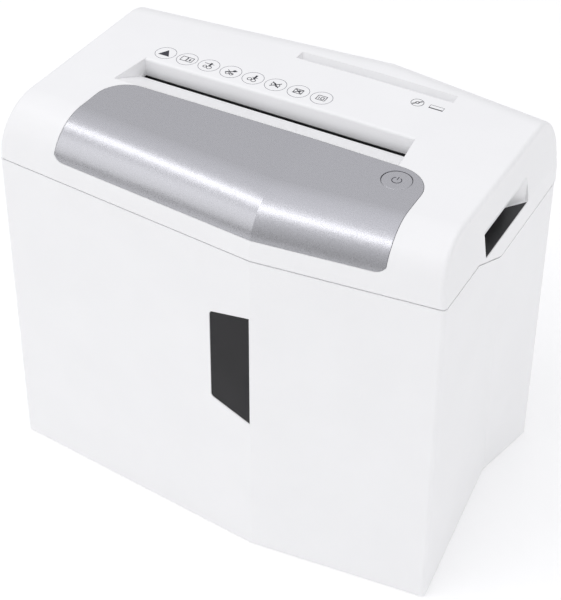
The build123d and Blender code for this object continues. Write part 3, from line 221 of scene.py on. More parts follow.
@dataclass(frozen=True)
class SatinLacquer(Finish):
    """Silver lacquer over plastic: fine metal flakes under a satin clear coat."""

    bright: str = "#BEBEC3"
    flake_mm: float = 0.4  # real flakes are about 0.03 mm; drawn coarser so that they show
    uneven: float = 0.05
    soft_edge_mm: float = 0.4
    coat: float = 0.35
    coat_roughness: float = 0.18

    def pattern(self, tree: bpy.types.NodeTree, shader: bpy.types.Node, place: bpy.types.NodeSocket) -> None:
        """Adds the flakes and the clear coat (see Finish.pattern)."""
        flake = put(tree, "ShaderNodeTexVoronoi", {"Vector": place, "Scale": 1 / (self.flake_mm * MM)})
        sparkle = put(tree, "ShaderNodeSeparateColor", {"Color": flake.outputs["Color"]}).outputs["Red"]
        self.mottle(shader, sparkle, self.colour, self.bright)
        self.dull(shader, sparkle, self.uneven, self.uneven)
        normal = {"Normal": shader.inputs["Normal"]}
        put(tree, "ShaderNodeBevel", {"Radius": self.soft_edge_mm * MM}, normal, samples=4)
        shader.inputs["Coat Weight"].default_value = self.coat
        shader.inputs["Coat Roughness"].default_value = self.coat_roughness


@dataclass(frozen=True)
class SmokedPlastic(Finish):
    """Polished polycarbonate, tinted dark through and through."""

    see_through: float = 0.12
    gloss: float = 0.3
    haze_colour: str = "#1A181C"
    haze_mm: float = 30.0
    polished: float = 0.03
    wiped: float = 0.05

    def pattern(self, tree: bpy.types.NodeTree, shader: bpy.types.Node, place: bpy.types.NodeSocket) -> None:
        """Adds the tint's slow change and faint wipe marks (see Finish.pattern)."""
        slow = {"Vector": place, "Scale": 1 / (self.haze_mm * MM), "Detail": 5.0}
        haze = put(tree, "ShaderNodeTexNoise", slow).outputs["Fac"]
        self.mottle(shader, haze, self.colour, self.haze_colour, (0.3, 0.8))
        self.dull(shader, haze, self.polished, self.wiped)
        shader.inputs["Transmission Weight"].default_value = self.see_through
        shader.inputs["Specular IOR Level"].default_value = self.gloss


@dataclass(frozen=True)
class TurnedSteel(Finish):
    """Hardened steel turned and ground on a lathe: fine rings about a shaft along X."""

    axis_y: float = 0.0
    axis_z: float = 0.0
    dark: str = "#77777B"
    stain_mm: float = 9.0
    ring_mm: float = 0.7  # real tool marks are about 0.1 mm apart; drawn coarser so that they show
    ring_depth_mm: float = 0.02
    ring_strength: float = 0.5
    ground: float = 0.1
    scored: float = 0.14

    def pattern(self, tree: bpy.types.NodeTree, shader: bpy.types.Node, place: bpy.types.NodeSocket) -> None:
        """Adds the stains and tool marks (see Finish.pattern)."""
        axis = (0.0, self.axis_y, self.axis_z)
        centred = put(tree, "ShaderNodeVectorMath", {0: place, 1: axis}, operation="SUBTRACT")
        parts = put(tree, "ShaderNodeSeparateXYZ", {"Vector": centred.outputs["Vector"]})
        across = put(tree, "ShaderNodeCombineXYZ", {"Y": parts.outputs["Y"], "Z": parts.outputs["Z"]})
        radius = put(tree, "ShaderNodeVectorMath", {0: across.outputs["Vector"]}, operation="LENGTH")
        along = put(tree, "ShaderNodeCombineXYZ", {"X": parts.outputs["X"], "Y": radius.outputs["Value"]})
        fine = {"Vector": along.outputs["Vector"], "Scale": 1 / (self.ring_mm * MM), "Detail": 2.0}
        rings = put(tree, "ShaderNodeTexNoise", fine).outputs["Fac"]
        blotched = {"Vector": place, "Scale": 1 / (self.stain_mm * MM), "Detail": 6.0}
        stain = put(tree, "ShaderNodeTexNoise", blotched).outputs["Fac"]
        self.mottle(shader, stain, self.dark, self.colour, (0.3, 0.7))
        self.dull(shader, rings, self.ground, self.scored)
        relief = {"Height": rings, "Distance": self.ring_depth_mm * MM, "Strength": self.ring_strength}
        put(tree, "ShaderNodeBump", relief, {"Normal": shader.inputs["Normal"]})


@dataclass(frozen=True)
class ZincPlate(Finish):
    """Zinc-plated sheet steel: soft grey spangle, each crystal a little lighter or darker than the next."""

    dark: str = "#8C9094"
    spangle_mm: float = 5.0
    rolling: Place = (40.0, 40.0, 1800.0)  # marks per metre along each axis
    bright: float = 0.08
    scuffed: float = 0.12

    def pattern(self, tree: bpy.types.NodeTree, shader: bpy.types.Node, place: bpy.types.NodeSocket) -> None:
        """Adds the spangle and rolling marks (see Finish.pattern)."""
        crystal = put(tree, "ShaderNodeTexVoronoi", {"Vector": place, "Scale": 1 / (self.spangle_mm * MM)})
        shade = put(tree, "ShaderNodeSeparateColor", {"Color": crystal.outputs["Color"]}).outputs["Green"]
        self.mottle(shader, shade, self.dark, self.colour)
        rolled = put(tree, "ShaderNodeMapping", {"Vector": place, "Scale": self.rolling}).outputs["Vector"]
        marks = put(tree, "ShaderNodeTexNoise", {"Vector": rolled, "Scale": 1.0, "Detail": 3.0})
        self.dull(shader, marks.outputs["Fac"], self.bright, self.scuffed)


@dataclass(frozen=True)
class NaturalNylon(Finish):
    """Unpigmented nylon: milky, lets a little light in, with moulding flow marks."""

    shade: str = "#D3CEBD"
    flow_mm: float = 14.0
    swirl: float = 1.2
    uneven: float = 0.07
    milkiness: float = 0.3
    milky_mm: float = 1.5

    def pattern(self, tree: bpy.types.NodeTree, shader: bpy.types.Node, place: bpy.types.NodeSocket) -> None:
        """Adds the flow marks and the milky depth (see Finish.pattern)."""
        swirled = {"Vector": place, "Scale": 1 / (self.flow_mm * MM), "Detail": 3.0, "Distortion": self.swirl}
        flow = put(tree, "ShaderNodeTexNoise", swirled).outputs["Fac"]
        self.mottle(shader, flow, self.shade, self.colour, (0.3, 0.7))
        self.dull(shader, flow, self.uneven, self.uneven)
        shader.inputs["Subsurface Weight"].default_value = self.milkiness
        shader.inputs["Subsurface Scale"].default_value = self.milky_mm * MM


@dataclass(frozen=True)
class SinteredMetal(Finish):
    """Pressed and sintered powder: tiny dark pores in a dull metal or ferrite."""

    pore: str = "#4A3524"
    pore_mm: float = 0.6  # real pores are under 0.1 mm; drawn coarser so that they show
    pore_depth_mm: float = 0.04
    pore_strength: float = 0.6

    def pattern(self, tree: bpy.types.NodeTree, shader: bpy.types.Node, place: bpy.types.NodeSocket) -> None:
        """Adds the pores (see Finish.pattern)."""
        cells = put(tree, "ShaderNodeTexVoronoi", {"Vector": place, "Scale": 1 / (self.pore_mm * MM)})
        pores = cells.outputs["Distance"]
        self.mottle(shader, pores, self.pore, self.colour, (0.05, 0.35))
        relief = {"Height": pores, "Distance": self.pore_depth_mm * MM, "Strength": self.pore_strength}
        put(tree, "ShaderNodeBump", relief, {"Normal": shader.inputs["Normal"]})


@dataclass(frozen=True)
class DrawnSteel(Finish):
    """Plated steel can, deep-drawn, with fine streaks along its length."""

    dark: str = "#84878C"
    streaks: Place = (30.0, 900.0, 900.0)  # streaks per metre along each axis
    bright: float = 0.08
    scuffed: float = 0.12

    def pattern(self, tree: bpy.types.NodeTree, shader: bpy.types.Node, place: bpy.types.NodeSocket) -> None:
        """Adds the drawing streaks (see Finish.pattern)."""
        stretched = put(tree, "ShaderNodeMapping", {"Vector": place, "Scale": self.streaks}).outputs["Vector"]
        fine = {"Vector": stretched, "Scale": 1.0, "Detail": 4.0}
        streak = put(tree, "ShaderNodeTexNoise", fine).outputs["Fac"]
        self.mottle(shader, streak, self.dark, self.colour, (0.25, 0.75))
        self.dull(shader, streak, self.bright, self.scuffed)


@dataclass(frozen=True)
class WoundRotor(Finish):
    """Stacked steel laminations between two heads of lacquered copper wire."""

    start_x: float = 0.0  # where the stack begins and ends along the shaft
    end_x: float = 1.0
    copper: str = "#B5643A"
    sheet_mm: float = 0.8
    bands_per_unit: float = 20.0  # the wave texture draws this many bands at a scale of 1
    gap_depth_mm: float = 0.08
    gap_strength: float = 0.6

    def pattern(self, tree: bpy.types.NodeTree, shader: bpy.types.Node, place: bpy.types.NodeSocket) -> None:
        """Adds the laminations and the copper heads (see Finish.pattern)."""
        along = put(tree, "ShaderNodeSeparateXYZ", {"Vector": place}).outputs["X"]
        past_start = put(tree, "ShaderNodeMath", {0: along, 1: self.start_x}, operation="GREATER_THAN")
        before_end = put(tree, "ShaderNodeMath", {0: along, 1: self.end_x}, operation="LESS_THAN")
        ends = {0: past_start.outputs["Value"], 1: before_end.outputs["Value"]}
        stack = put(tree, "ShaderNodeMath", ends, operation="MULTIPLY").outputs["Value"]
        self.mottle(shader, stack, self.copper, self.colour)
        bands = {"Vector": place, "Scale": 1 / (self.sheet_mm * MM) / self.bands_per_unit, "Distortion": 0.0}
        sheets = put(tree, "ShaderNodeTexWave", bands, bands_direction="X").outputs["Fac"]
        relief = {"Height": sheets, "Distance": self.gap_depth_mm * MM, "Strength": self.gap_strength}
        put(tree, "ShaderNodeBump", relief, {"Normal": shader.inputs["Normal"]})


@dataclass(frozen=True)
class CircuitBoard(Finish):
    """Solder mask over copper tracks, with tinned pads."""

    track: str = "#1F7A44"
    pad: str = "#C9C6BA"
    track_mm: float = 2.4
    tracks_per_brick: int = 4
    track_line: float = 0.03
    pad_mm: float = 5.0
    pad_scatter: float = 0.35
    pad_share: float = 0.16  # of a pad's cell, from its middle

    def pattern(self, tree: bpy.types.NodeTree, shader: bpy.types.Node, place: bpy.types.NodeSocket) -> None:
        """Adds tracks and pads (see Finish.pattern)."""
        tracks = put(
            tree,
            "ShaderNodeTexBrick",
            {
                "Vector": place,
                "Scale": 1 / (self.track_mm * self.tracks_per_brick * MM),
                "Color1": linear(self.colour),
                "Color2": linear(self.colour),
                "Mortar": linear(self.track),
                "Mortar Size": self.track_line,
            },
        )
        cells = {"Vector": place, "Scale": 1 / (self.pad_mm * MM), "Randomness": self.pad_scatter}
        reach = {0: put(tree, "ShaderNodeTexVoronoi", cells).outputs["Distance"], 1: self.pad_share}
        metal = {"Value": shader.inputs["Metallic"]}
        tinned = put(tree, "ShaderNodeMath", reach, metal, operation="LESS_THAN").outputs["Value"]
        layers = {"Factor": tinned, "A": tracks.outputs["Color"], "B": linear(self.pad)}
        put(tree, "ShaderNodeMix", layers, {"Result": shader.inputs["Base Color"]}, data_type="RGBA")


@dataclass(frozen=True)
class SoftRubber(Finish):
    """Matt black rubber with a bloom of fine dust."""

    dust: str = "#2E2E30"
    dust_mm: float = 3.0
    uneven: float = 0.08

    def pattern(self, tree: bpy.types.NodeTree, shader: bpy.types.Node, place: bpy.types.NodeSocket) -> None:
        """Adds the dust (see Finish.pattern)."""
        fine = {"Vector": place, "Scale": 1 / (self.dust_mm * MM), "Detail": 6.0}
        bloom = put(tree, "ShaderNodeTexNoise", fine).outputs["Fac"]
        self.mottle(shader, bloom, self.colour, self.dust, (0.4, 0.8))
        self.dull(shader, bloom, self.uneven, self.uneven)


@dataclass(frozen=True)
class LitPaint(Finish):
    """Matt white studio paint, lit a little from below so that it stays near white."""

    glow: float = 0.12
    roller_mm: float = 40.0
    uneven: float = 0.04

    def pattern(self, tree: bpy.types.NodeTree, shader: bpy.types.Node, place: bpy.types.NodeSocket) -> None:
        """Adds the roller's faint unevenness and the glow (see Finish.pattern)."""
        nap = {"Vector": place, "Scale": 1 / (self.roller_mm * MM), "Detail": 3.0}
        rolled = put(tree, "ShaderNodeTexNoise", nap).outputs["Fac"]
        self.dull(shader, rolled, self.uneven, self.uneven)
        shader.inputs["Emission Color"].default_value = (1.0, 1.0, 1.0, 1.0)
        shader.inputs["Emission Strength"].default_value = self.glow


@dataclass(frozen=True)
class PrintedInk(Finish):
    """Pad-printed ink: dense and matt, a little thin in places."""

    thin: str = "#8A8A92"
    patch_mm: float = 1.5

    def pattern(self, tree: bpy.types.NodeTree, shader: bpy.types.Node, place: bpy.types.NodeSocket) -> None:
        """Adds the uneven ink (see Finish.pattern)."""
        patches = {"Vector": place, "Scale": 1 / (self.patch_mm * MM), "Detail": 3.0}
        ink = put(tree, "ShaderNodeTexNoise", patches).outputs["Fac"]
        self.mottle(shader, ink, self.colour, self.thin, (0.45, 0.9))


WHITE_ABS = MouldedPlastic("moulded_white_abs", "#F3F3F4", 0.4, worn="#F5F5F6")
BLACK_ABS = MouldedPlastic("moulded_black_abs", "#2A2A2C", 0.5, worn="#323234")
BLACK_NYLON = MouldedPlastic("moulded_black_nylon", "#1F1F21", 0.42, worn="#29292B")
RELAY_PLASTIC = MouldedPlastic("moulded_blue_pbt", "#2C5FA8", 0.35, worn="#3468B0")
TERMINAL_PLASTIC = MouldedPlastic("moulded_green_polyamide", "#2E8C4A", 0.45, worn="#359652")
CAPACITOR_SLEEVE = MouldedPlastic("shrunk_pvc_sleeve", "#1E2C48", 0.3, worn="#24345A")
SILVER_LACQUER = SatinLacquer("satin_silver_lacquer", "#B6B6BB", 0.3, metallic=0.85)
SMOKED_PC = SmokedPlastic("smoked_polycarbonate", "#0B0A0D", 0.14, ior=1.45)
PLATED_STEEL = ZincPlate("zinc_plated_steel", "#B3B6BA", 0.38, metallic=1.0)
CAN_STEEL = DrawnSteel("drawn_plated_steel", "#B0B3B8", 0.34, metallic=1.0)
GEAR_NYLON = NaturalNylon("natural_nylon", "#E6E1D2", 0.42, ior=1.53)
BUSH_BRONZE = SinteredMetal("oiled_sintered_bronze", "#A9794A", 0.45, metallic=1.0)
MAGNET_FERRITE = SinteredMetal("sintered_ferrite", "#3A3A3D", 0.6, pore="#1D1D1F")
GLAND_RUBBER = SoftRubber("soft_black_rubber", "#19191A", 0.72)
BOARD_MASK = CircuitBoard("green_circuit_board", "#17603A", 0.35)
FLOOR_PAINT = LitPaint("matt_white_floor_paint", "#F8F8F8", 0.9)
GREY_INK = PrintedInk("printed_grey_ink", "#6B6B74", 0.6)
DARK_INK = PrintedInk("printed_dark_ink", "#2C2C36", 0.6, thin="#3A3A44")


def make_object(name: str, shape: bmesh.types.BMesh, finish: Finish) -> bpy.types.Object:
    """Turns a finished shape into an object of the scene.

    Args:
        name: The object's name.
        shape: The shape in metres, which is used up.
        finish: Its finish.

    Returns:
        The new object, at the origin.
    """
    data = bpy.data.meshes.new(name)
    shape.to_mesh(data)
    shape.free()
    data.materials.append(finish.make())
    piece = bpy.data.objects.new(name, data)
    bpy.context.scene.collection.objects.link(piece)
    return piece


def dress(nodes: tuple[str, ...], finish: Finish) -> None:
    """Gives made parts their finish.

    Args:
        nodes: Names of the parts.
        finish: The finish they all take.
    """
    for node in nodes:
        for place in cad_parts[node].material_slots:
            place.material = finish.make()
    log.info("%s: %s", finish.name, ", ".join(nodes))


# ---------------------------------------------------------------- printed marks
class Mark(Enum):
    """The pictures printed on the head, all of them plain shapes."""

    TRIANGLE = "triangle"
    BOOK = "book"
    FINGER = "finger"
    STRANDS = "strands"
    RIBBON = "ribbon"
    CLIPS = "clips"
    CROSSED_SHEET = "crossed_sheet"
    SHEETS = "sheets"
    DISC = "disc"
    CARD = "card"
    POWER = "power"


@dataclass
class Print:
    """Flat shapes of ink, drawn about the origin in millimetres and then laid on a surface."""

    thickness: float = 0.05
    same_place: float = 1e-5
    arc_steps: int = 40
    line: float = 0.55  # width of the pictures' usual line
    mesh: bmesh.types.BMesh = field(default_factory=bmesh.new)

    def ring(self, centre: tuple[float, float], radius: float, width: float, segments: int = 64) -> None:
        """Draws a circle's line.

        Args:
            centre: Its middle.
            radius: To the middle of the line.
            width: The line's width.
            segments: How many straight runs make the circle.
        """
        place = Matrix.Translation((*centre, 0))
        loops = []
        for reach in (radius - width / 2, radius + width / 2):
            made = bmesh.ops.create_circle(self.mesh, segments=segments, radius=reach, matrix=place)
            loops += list({edge for vert in made["verts"] for edge in vert.link_edges})
        bmesh.ops.bridge_loops(self.mesh, edges=loops)

    def dot(self, centre: tuple[float, float], radius: float, corners: int = 24, turn: float = 0.0) -> None:
        """Draws a filled circle, or a filled shape with equal sides.

        Args:
            centre: Its middle.
            radius: To its corners.
            corners: How many corners.
            turn: How far it is turned, in degrees.
        """
        place = Matrix.Translation((*centre, 0)) @ Matrix.Rotation(math.radians(turn), 4, "Z")
        bmesh.ops.create_circle(self.mesh, cap_ends=True, segments=corners, radius=radius, matrix=place)

    def bar(self, start: tuple[float, float], end: tuple[float, float], width: float) -> None:
        """Draws a straight line.

        Args:
            start: One end.
            end: The other end.
            width: The line's width.
        """
        a, b = Vector((*start, 0)), Vector((*end, 0))
        run = b - a
        place = Matrix.Translation((a + b) / 2) @ Matrix.Rotation(math.atan2(run.y, run.x), 4, "Z")
        stretch = Matrix.Diagonal((run.length / 2, width / 2, 1, 1))
        bmesh.ops.create_grid(self.mesh, x_segments=1, y_segments=1, size=1, matrix=place @ stretch)

    def frame_of(
        self, width: float, height: float, line: float, centre: tuple[float, float] = (0, 0)
    ) -> None:
        """Draws a rectangle's outline.

        Args:
            width: Its width.
            height: Its height.
            line: The line's width.
            centre: Its middle.
        """
        x, y = width / 2, height / 2
        corners = [(-x, -y), (x, -y), (x, y), (-x, y)]
        corners = [(a + centre[0], b + centre[1]) for a, b in corners]
        for start, end in zip(corners, corners[1:] + corners[:1]):
            self.bar(start, end, line)

    def arc(self, radius: float, width: float, opening: float) -> None:
        """Draws a ring with a gap at its top.

        Args:
            radius: To the middle of the line.
            width: The line's width.
            opening: The gap, in degrees.
        """
        sweep = math.radians(360 - opening)
        start = math.radians(90 + opening / 2)
        inner = Vector((math.cos(start), math.sin(start), 0)) * (radius - width / 2)
        outer = Vector((math.cos(start), math.sin(start), 0)) * (radius + width / 2)
        edge = self.mesh.edges.new((self.mesh.verts.new(inner), self.mesh.verts.new(outer)))
        bmesh.ops.spin(
            self.mesh,
            geom=[edge, *edge.verts],
            cent=(0, 0, 0),
            axis=(0, 0, 1),
            angle=sweep,
            steps=self.arc_steps,
        )

    def draw(self, mark: Mark) -> None:
        """Draws one of the pictures.

        Args:
            mark: Which one.
        """
        line = self.line
        if mark is Mark.TRIANGLE:
            self.dot((0, -0.8), 5.4, corners=3)
        elif mark is Mark.BOOK:
            self.frame_of(4.6, 5.6, line, (-2.5, 0))
            self.frame_of(4.6, 5.6, line, (2.5, 0))
            self.bar((2.6, -1.6), (2.6, 1.0), 1.2)
        elif mark is Mark.FINGER:
            self.bar((0.6, -1.2), (0.6, 4.0), 1.5)
            self.ring((-2.2, -2.2), 1.4, line, 24)
            self.ring((1.4, -2.4), 1.9, line, 24)
            self.bar((-4.6, 2.2), (3.2, 2.2), line)
        elif mark is Mark.STRANDS:
            self.bar((-4.0, -1.6), (4.2, 2.4), 0.9)
            self.bar((-3.2, 2.0), (2.6, -2.8), line)
            self.ring((-1.6, -2.4), 1.4, line, 24)
            self.ring((1.8, -2.6), 1.4, line, 24)
            self.dot((2.2, 2.0), 1.3)
        elif mark is Mark.RIBBON:
            self.bar((1.0, -0.6), (1.0, 4.6), 1.6)
            self.ring((-2.0, -1.8), 1.6, line, 24)
            self.ring((1.6, -2.6), 1.7, line, 24)
            self.bar((-1.4, 1.2), (3.4, 1.2), line)
        elif mark is Mark.CLIPS:
            self.bar((-3.6, -3.0), (3.6, 3.0), 0.8)
            self.bar((-3.6, 3.0), (3.6, -3.0), 0.8)
            self.ring((-1.8, 0.2), 1.7, line, 24)
            self.ring((1.8, -0.4), 1.7, line, 24)
        elif mark is Mark.CROSSED_SHEET:
            self.frame_of(6.6, 5.4, line)
            self.bar((-3.3, -2.7), (3.3, 2.7), 0.8)
            self.bar((-3.3, 2.7), (3.3, -2.7), 0.8)
            self.dot((0.8, 0.8), 1.0)
        elif mark is Mark.SHEETS:
            self.frame_of(7.0, 5.6, line)
            self.frame_of(2.2, 2.8, line, (0.9, -0.3))
            self.bar((-1.8, -1.7), (-1.8, 1.2), line)
        elif mark is Mark.DISC:
            self.ring((0, 0), 4.6, 0.4, 48)
            self.ring((0, 0), 1.2, 0.7, 24)
            self.bar((0.9, 0.9), (2.8, 2.8), 1.1)
            self.bar((-0.9, -0.9), (-2.8, -2.8), 1.1)
        elif mark is Mark.CARD:
            self.frame_of(10.4, 4.2, 0.3)
            self.bar((-5.2, -1.7), (5.2, -1.7), 1.1)
        elif mark is Mark.POWER:
            self.arc(3.3, 0.6, 60)
            self.bar((0, 0.4), (0, 3.9), 0.6)

    def lay(self, name: str, body: str, place: Matrix, finish: Finish) -> None:
        """Lays the drawing on a surface as a piece of its own.

        Args:
            name: The piece's name.
            body: The body it rides on.
            place: Where it goes; its +Z is the surface's outward direction.
            finish: The ink.
        """
        bmesh.ops.remove_doubles(self.mesh, verts=self.mesh.verts, dist=self.same_place)
        bmesh.ops.recalc_face_normals(self.mesh, faces=self.mesh.faces)
        for face in self.mesh.faces:
            if face.normal.z < 0:
                face.normal_flip()
        raised = bmesh.ops.extrude_face_region(self.mesh, geom=self.mesh.faces[:])
        tops = [part for part in raised["geom"] if isinstance(part, bmesh.types.BMVert)]
        bmesh.ops.translate(self.mesh, verts=tops, vec=(0, 0, self.thickness))
        bmesh.ops.recalc_face_normals(self.mesh, faces=self.mesh.faces)
        bmesh.ops.transform(self.mesh, matrix=place @ Matrix.Scale(MM, 4), verts=self.mesh.verts)
        piece = make_object(name, self.mesh, finish)
        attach(piece, body)
        log.info("%s rides on %s", name, body)


# ---------------------------------------------------------------- sub-assemblies
@dataclass
class Bin:
    """The white bin and its smoked window."""

    def build(self) -> None:
        """Dresses the bin."""
        dress(("bin_shell",), WHITE_ABS)
        dress(("bin_window",), SMOKED_PC)


@dataclass
class Head:
    """The cutting head's outside: cover, grips, guides and printed marks."""

    ridge_x: float = 42.46  # the top's ridge, from the CAD's crease
    ridge_drop: float = 1.5
    half_width: float = 169.5
    circle_radius: float = 8.1
    circle_line: float = 0.35
    row_start: tuple[float, float] = (-109.7, 27.6)
    row_step: float = 18.7
    disc_mark: tuple[float, float] = (82.7, 56.0)
    card_mark: tuple[float, float] = (97.4, 56.2)
    liner_lap: float = 1.6  # the liners are this much larger than their holes
    # painted shade: a thin black sheet on each grip opening's floor stands in for the shade inside the grip
    painted_shade_reach: float = 10.8
    painted_shade_gap: float = 0.6
    painted_shade_flare: float = 14.0  # the opening widens to the rear by this much
    painted_shade_thickness: float = 0.5
    painted_shade_soft: float = 0.125
    brow_corners: tuple[tuple[float, float], ...] = ((0.15, 0.0), (6.0, 0.0), (8.15, 7.3))  # out and up
    brow_soft: float = 0.05
    same_corner: float = 0.05  # corners closer than this are one
    rear_slope: float = 15 / 9  # the opening's rear end slopes back by this much for each step outwards
    row: tuple[Mark, ...] = (
        Mark.TRIANGLE,
        Mark.BOOK,
        Mark.FINGER,
        Mark.STRANDS,
        Mark.RIBBON,
        Mark.CLIPS,
        Mark.CROSSED_SHEET,
        Mark.SHEETS,
    )

    def on_top(self, x: float, y: float) -> Matrix:
        """Finds a place on the head's top.

        Args:
            x: Place across, in millimetres.
            y: Place from front to back, in millimetres.

        Returns:
            A matrix whose +Z is the top's outward direction there.
        """
        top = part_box("head_cover")[1][2] / MM
        side = 1 if x > self.ridge_x else -1
        slope = self.ridge_drop / (self.half_width - side * self.ridge_x)
        z = top - abs(x - self.ridge_x) * slope
        lean = Matrix.Rotation(side * math.atan(slope), 4, "Y")
        return Matrix.Translation(Vector((x, y, z)) * MM) @ lean

    def slab(
        self,
        name: str,
        base: tuple[Place, ...],
        rise: tuple[Place, ...],
        soft: float,
        finish: Finish,
    ) -> None:
        """Makes a small closed piece between two faces with as many corners, and rides it on the head.

        Args:
            name: The piece's name.
            base: Corners of one face, in millimetres.
            rise: From each of those corners to the matching corner of the other face.
            soft: How much its edges are bevelled.
            finish: Its finish.
        """
        shape = bmesh.new()
        shape.faces.new([shape.verts.new(corner) for corner in base])
        raised = bmesh.ops.extrude_face_region(shape, geom=shape.faces[:])
        far = [part for part in raised["geom"] if isinstance(part, bmesh.types.BMVert)]
        for corner, step in zip(base, rise):
            moved = [vert for vert in far if (vert.co - Vector(corner)).length < self.same_corner]
            bmesh.ops.translate(shape, verts=moved, vec=step)
        bmesh.ops.bevel(
            shape, geom=shape.edges[:], offset=soft, affect="EDGES", segments=2, profile=0.5, material=-1
        )
        bmesh.ops.recalc_face_normals(shape, faces=shape.faces)
        bmesh.ops.scale(shape, vec=(MM, MM, MM), verts=shape.verts)
        piece = make_object(name, shape, finish)
        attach(piece, "head")
        log.info("%s rides on head", name)

    def grip(self, side: str) -> None:
        """Finishes one grip: a thin black sheet on its floor as painted shade, and the steep brow over it.

        Args:
            side: Which grip, "left" or "right".
        """
        low, high = (Vector(corner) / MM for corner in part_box(f"grip_liner_{side}"))
        outwards = 1 if side == "right" else -1
        inner_x = high.x if side == "right" else low.x
        front_y = low.y + self.liner_lap
        rear_y = high.y - self.liner_lap
        floor_z = low.z + self.liner_lap
        top_z = high.z - self.liner_lap
        outer_x = inner_x + outwards * self.painted_shade_reach
        painted_shade_front = front_y + self.painted_shade_gap
        painted_shade_rear = rear_y - self.painted_shade_gap
        # painted shade: this black sheet darkens the opening's floor, where shade falls inside the grip
        painted_shade_sheet = (
            (inner_x, painted_shade_front, floor_z),
            (outer_x, painted_shade_front, floor_z),
            (outer_x, painted_shade_rear + self.painted_shade_flare, floor_z),
            (inner_x, painted_shade_rear, floor_z),
        )
        rise = ((0.0, 0.0, self.painted_shade_thickness),) * len(painted_shade_sheet)
        self.slab(f"grip_painted_shade_{side}", painted_shade_sheet, rise, self.painted_shade_soft, BLACK_ABS)
        brow = tuple(
            (inner_x + outwards * reach, front_y, top_z + height) for reach, height in self.brow_corners
        )
        length = rear_y - front_y
        steps = tuple((0.0, length + reach * self.rear_slope, 0.0) for reach, _ in self.brow_corners)
        self.slab(f"grip_brow_{side}", brow, steps, self.brow_soft, WHITE_ABS)

    def build(self) -> None:
        """Dresses the head, finishes the grips and prints the marks."""
        dress(("head_cover",), WHITE_ABS)
        dress(("grip_liner_left", "grip_liner_right", "head_base"), BLACK_ABS)
        dress(("paper_guide_front", "paper_guide_rear", "disc_guide_front", "disc_guide_rear"), BLACK_ABS)
        dress(("paper_lever",), BLACK_NYLON)
        dress(("cord_gland",), GLAND_RUBBER)
        dress(("cover_screws",), PLATED_STEEL)
        for side in ("left", "right"):
            self.grip(side)
        for index, mark in enumerate(self.row):
            x = self.row_start[0] + index * self.row_step
            circle = Print()
            circle.ring((0, 0), self.circle_radius, self.circle_line)
            place = self.on_top(x, self.row_start[1])
            circle.lay(f"printed_circle_{index + 1}", "head", place, GREY_INK)
            picture = Print()
            picture.draw(mark)
            picture.lay(f"printed_{mark.value}", "head", place, DARK_INK)
        for mark, spot in ((Mark.DISC, self.disc_mark), (Mark.CARD, self.card_mark)):
            picture = Print()
            picture.draw(mark)
            picture.lay(f"printed_{mark.value}", "head", self.on_top(*spot), DARK_INK)


@dataclass
class ControlPanel:
    """The silver panel and its power button."""

    def build(self) -> None:
        """Dresses the panel and prints the button's mark."""
        dress(("control_panel", "power_button"), SILVER_LACQUER)
        low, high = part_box("power_button")
        centre = Vector(((low[0] + high[0]) / 2, (low[1] + high[1]) / 2, high[2]))
        picture = Print()
        picture.draw(Mark.POWER)
        place = Matrix.Translation(centre)
        picture.lay("printed_power_mark", "power_button", place, DARK_INK)


@dataclass
class CuttingUnit:
    """Rollers, combs, plates and rods."""

    def build(self) -> None:
        """Dresses the cutting unit."""
        for node in ("front_cutter", "rear_cutter"):
            low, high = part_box(node)
            steel = TurnedSteel(
                f"turned_steel_{node}",
                "#A5A5AA",
                0.3,
                metallic=1.0,
                axis_y=(low[1] + high[1]) / 2,
                axis_z=(low[2] + high[2]) / 2,
            )
            dress((node,), steel)
        dress(("comb_front", "comb_rear"), BLACK_ABS)
        dress(("side_plate", "gear_plate", "tie_rods", "rod_screws"), PLATED_STEEL)
        dress(("front_rings", "rear_ring"), PLATED_STEEL)
        dress(("shaft_bushes",), BUSH_BRONZE)


@dataclass
class Drive:
    """Motor, gears and gearbox cover."""

    stack_start_mm: float = 26.0  # the rotor's laminations, from its left end
    stack_end_mm: float = 64.0

    def build(self) -> None:
        """Dresses the motor and its gears."""
        dress(("first_gear", "second_gear", "drive_gear", "front_sync_gear", "rear_sync_gear"), GEAR_NYLON)
        dress(("gear_axles", "motor_screws"), PLATED_STEEL)
        dress(("gearbox_cover",), BLACK_ABS)
        dress(("motor_can", "motor_end_bell", "motor_pinion"), CAN_STEEL)
        dress(("motor_magnets",), MAGNET_FERRITE)
        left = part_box("motor_rotor")[0][0]
        rotor = WoundRotor(
            "wound_rotor",
            "#85868A",
            0.4,
            metallic=1.0,
            start_x=left + self.stack_start_mm * MM,
            end_x=left + self.stack_end_mm * MM,
        )
        dress(("motor_rotor",), rotor)


@dataclass
class Electronics:
    """Boards, their parts and the switches."""

    def build(self) -> None:
        """Dresses the boards and switches."""
        dress(("main_board", "button_board"), BOARD_MASK)
        dress(("capacitor",), CAPACITOR_SLEEVE)
        dress(("relay",), RELAY_PLASTIC)
        dress(("terminal_block",), TERMINAL_PLASTIC)
        dress(("button_switch", "paper_switch", "interlock_switch"), BLACK_NYLON)


# ---------------------------------------------------------------- studio
@dataclass(frozen=True)
class Lamp:
    """A large soft lamp that faces the object."""

    name: str
    place: Place  # where it hangs, in metres
    size: tuple[float, float]  # width and height
    power: float  # in watts

    def hang(self, aim: Place) -> None:
        """Hangs the lamp.

        Args:
            aim: The place it faces.
        """
        data = bpy.data.lights.new(self.name, "AREA")
        data.shape = "RECTANGLE"
        data.size, data.size_y = self.size
        data.energy = self.power
        lamp = bpy.data.objects.new(self.name, data)
        lamp.location = self.place
        lamp.rotation_euler = (Vector(aim) - Vector(self.place)).to_track_quat("-Z", "Y").to_euler()
        bpy.context.scene.collection.objects.link(lamp)


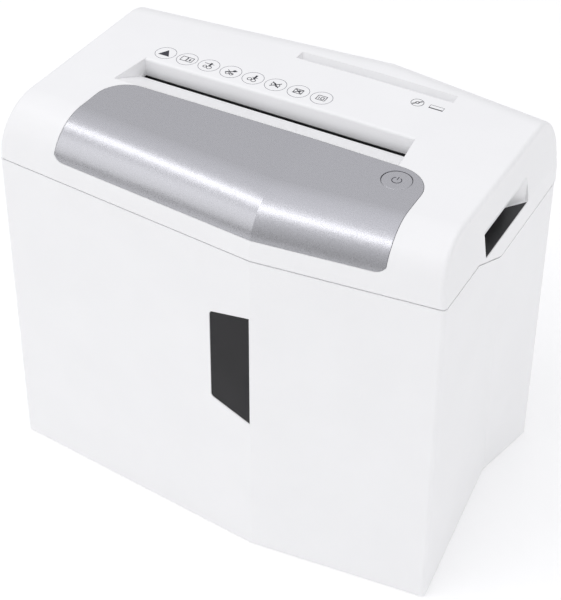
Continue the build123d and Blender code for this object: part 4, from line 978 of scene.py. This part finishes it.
@dataclass
class Studio:
    """Floor, light and camera."""

    eye: Place = (0.4280, -0.7562, 0.8671)
    aim: Place = (0.0016, 0.0031, 0.1405)
    lens: float = 87.3
    floor_size: float = 8.0
    horizon: str = "#919190"
    zenith: str = "#F6F6F9"
    room_strength: float = 1.18
    lamps: tuple[Lamp, ...] = (
        Lamp("key_lamp", (-1.9, -2.1, 1.5), (1.8, 1.8), 8.0),
        Lamp("band_lamp", (-0.8, -1.0, 2.3), (2.6, 0.4), 9.0),
        Lamp("fill_lamp", (2.6, -0.4, 1.2), (1.6, 1.6), 5.5),
    )

    def floor(self) -> None:
        """Lays a plain pale floor."""
        sheet = bmesh.new()
        bmesh.ops.create_grid(sheet, x_segments=1, y_segments=1, size=self.floor_size / 2)
        piece = make_object("studio_floor", sheet, FLOOR_PAINT)

    def light(self) -> None:
        """Sets the white room and its lamps."""
        room = bpy.data.worlds.new("white_room")
        room.use_nodes = True
        tree = room.node_tree
        tree.nodes.clear()
        sky = put(tree, "ShaderNodeTexCoord").outputs["Generated"]
        up = put(tree, "ShaderNodeSeparateXYZ", {"Vector": sky}).outputs["Z"]
        wash = put(tree, "ShaderNodeValToRGB", {"Fac": up}, stops=((0.0, self.horizon), (1.0, self.zenith)))
        fill = {"Color": wash.outputs["Color"], "Strength": self.room_strength}
        glow = put(tree, "ShaderNodeBackground", fill)
        put(tree, "ShaderNodeOutputWorld", {"Surface": glow.outputs["Background"]})
        bpy.context.scene.world = room
        for lamp in self.lamps:
            lamp.hang(self.aim)
        bpy.context.scene.view_settings.view_transform = "Standard"

    def camera(self) -> None:
        """Sets the camera at the object's three-quarter view from above."""
        data = bpy.data.cameras.new("camera")
        data.lens = self.lens
        camera = bpy.data.objects.new("camera", data)
        camera.location = self.eye
        camera.rotation_euler = (Vector(self.aim) - Vector(self.eye)).to_track_quat("-Z", "Y").to_euler()
        bpy.context.scene.collection.objects.link(camera)
        bpy.context.scene.camera = camera

    def build(self) -> None:
        """Sets up the whole studio."""
        self.floor()
        self.light()
        self.camera()


def main() -> None:
    """Builds every sub-assembly and the studio."""
    logging.basicConfig(level=logging.INFO)
    for part in (Bin(), Head(), ControlPanel(), CuttingUnit(), Drive(), Electronics(), Studio()):
        part.build()
        log.info("built %s", type(part).__name__)


if __name__ == "__main__":
    main()
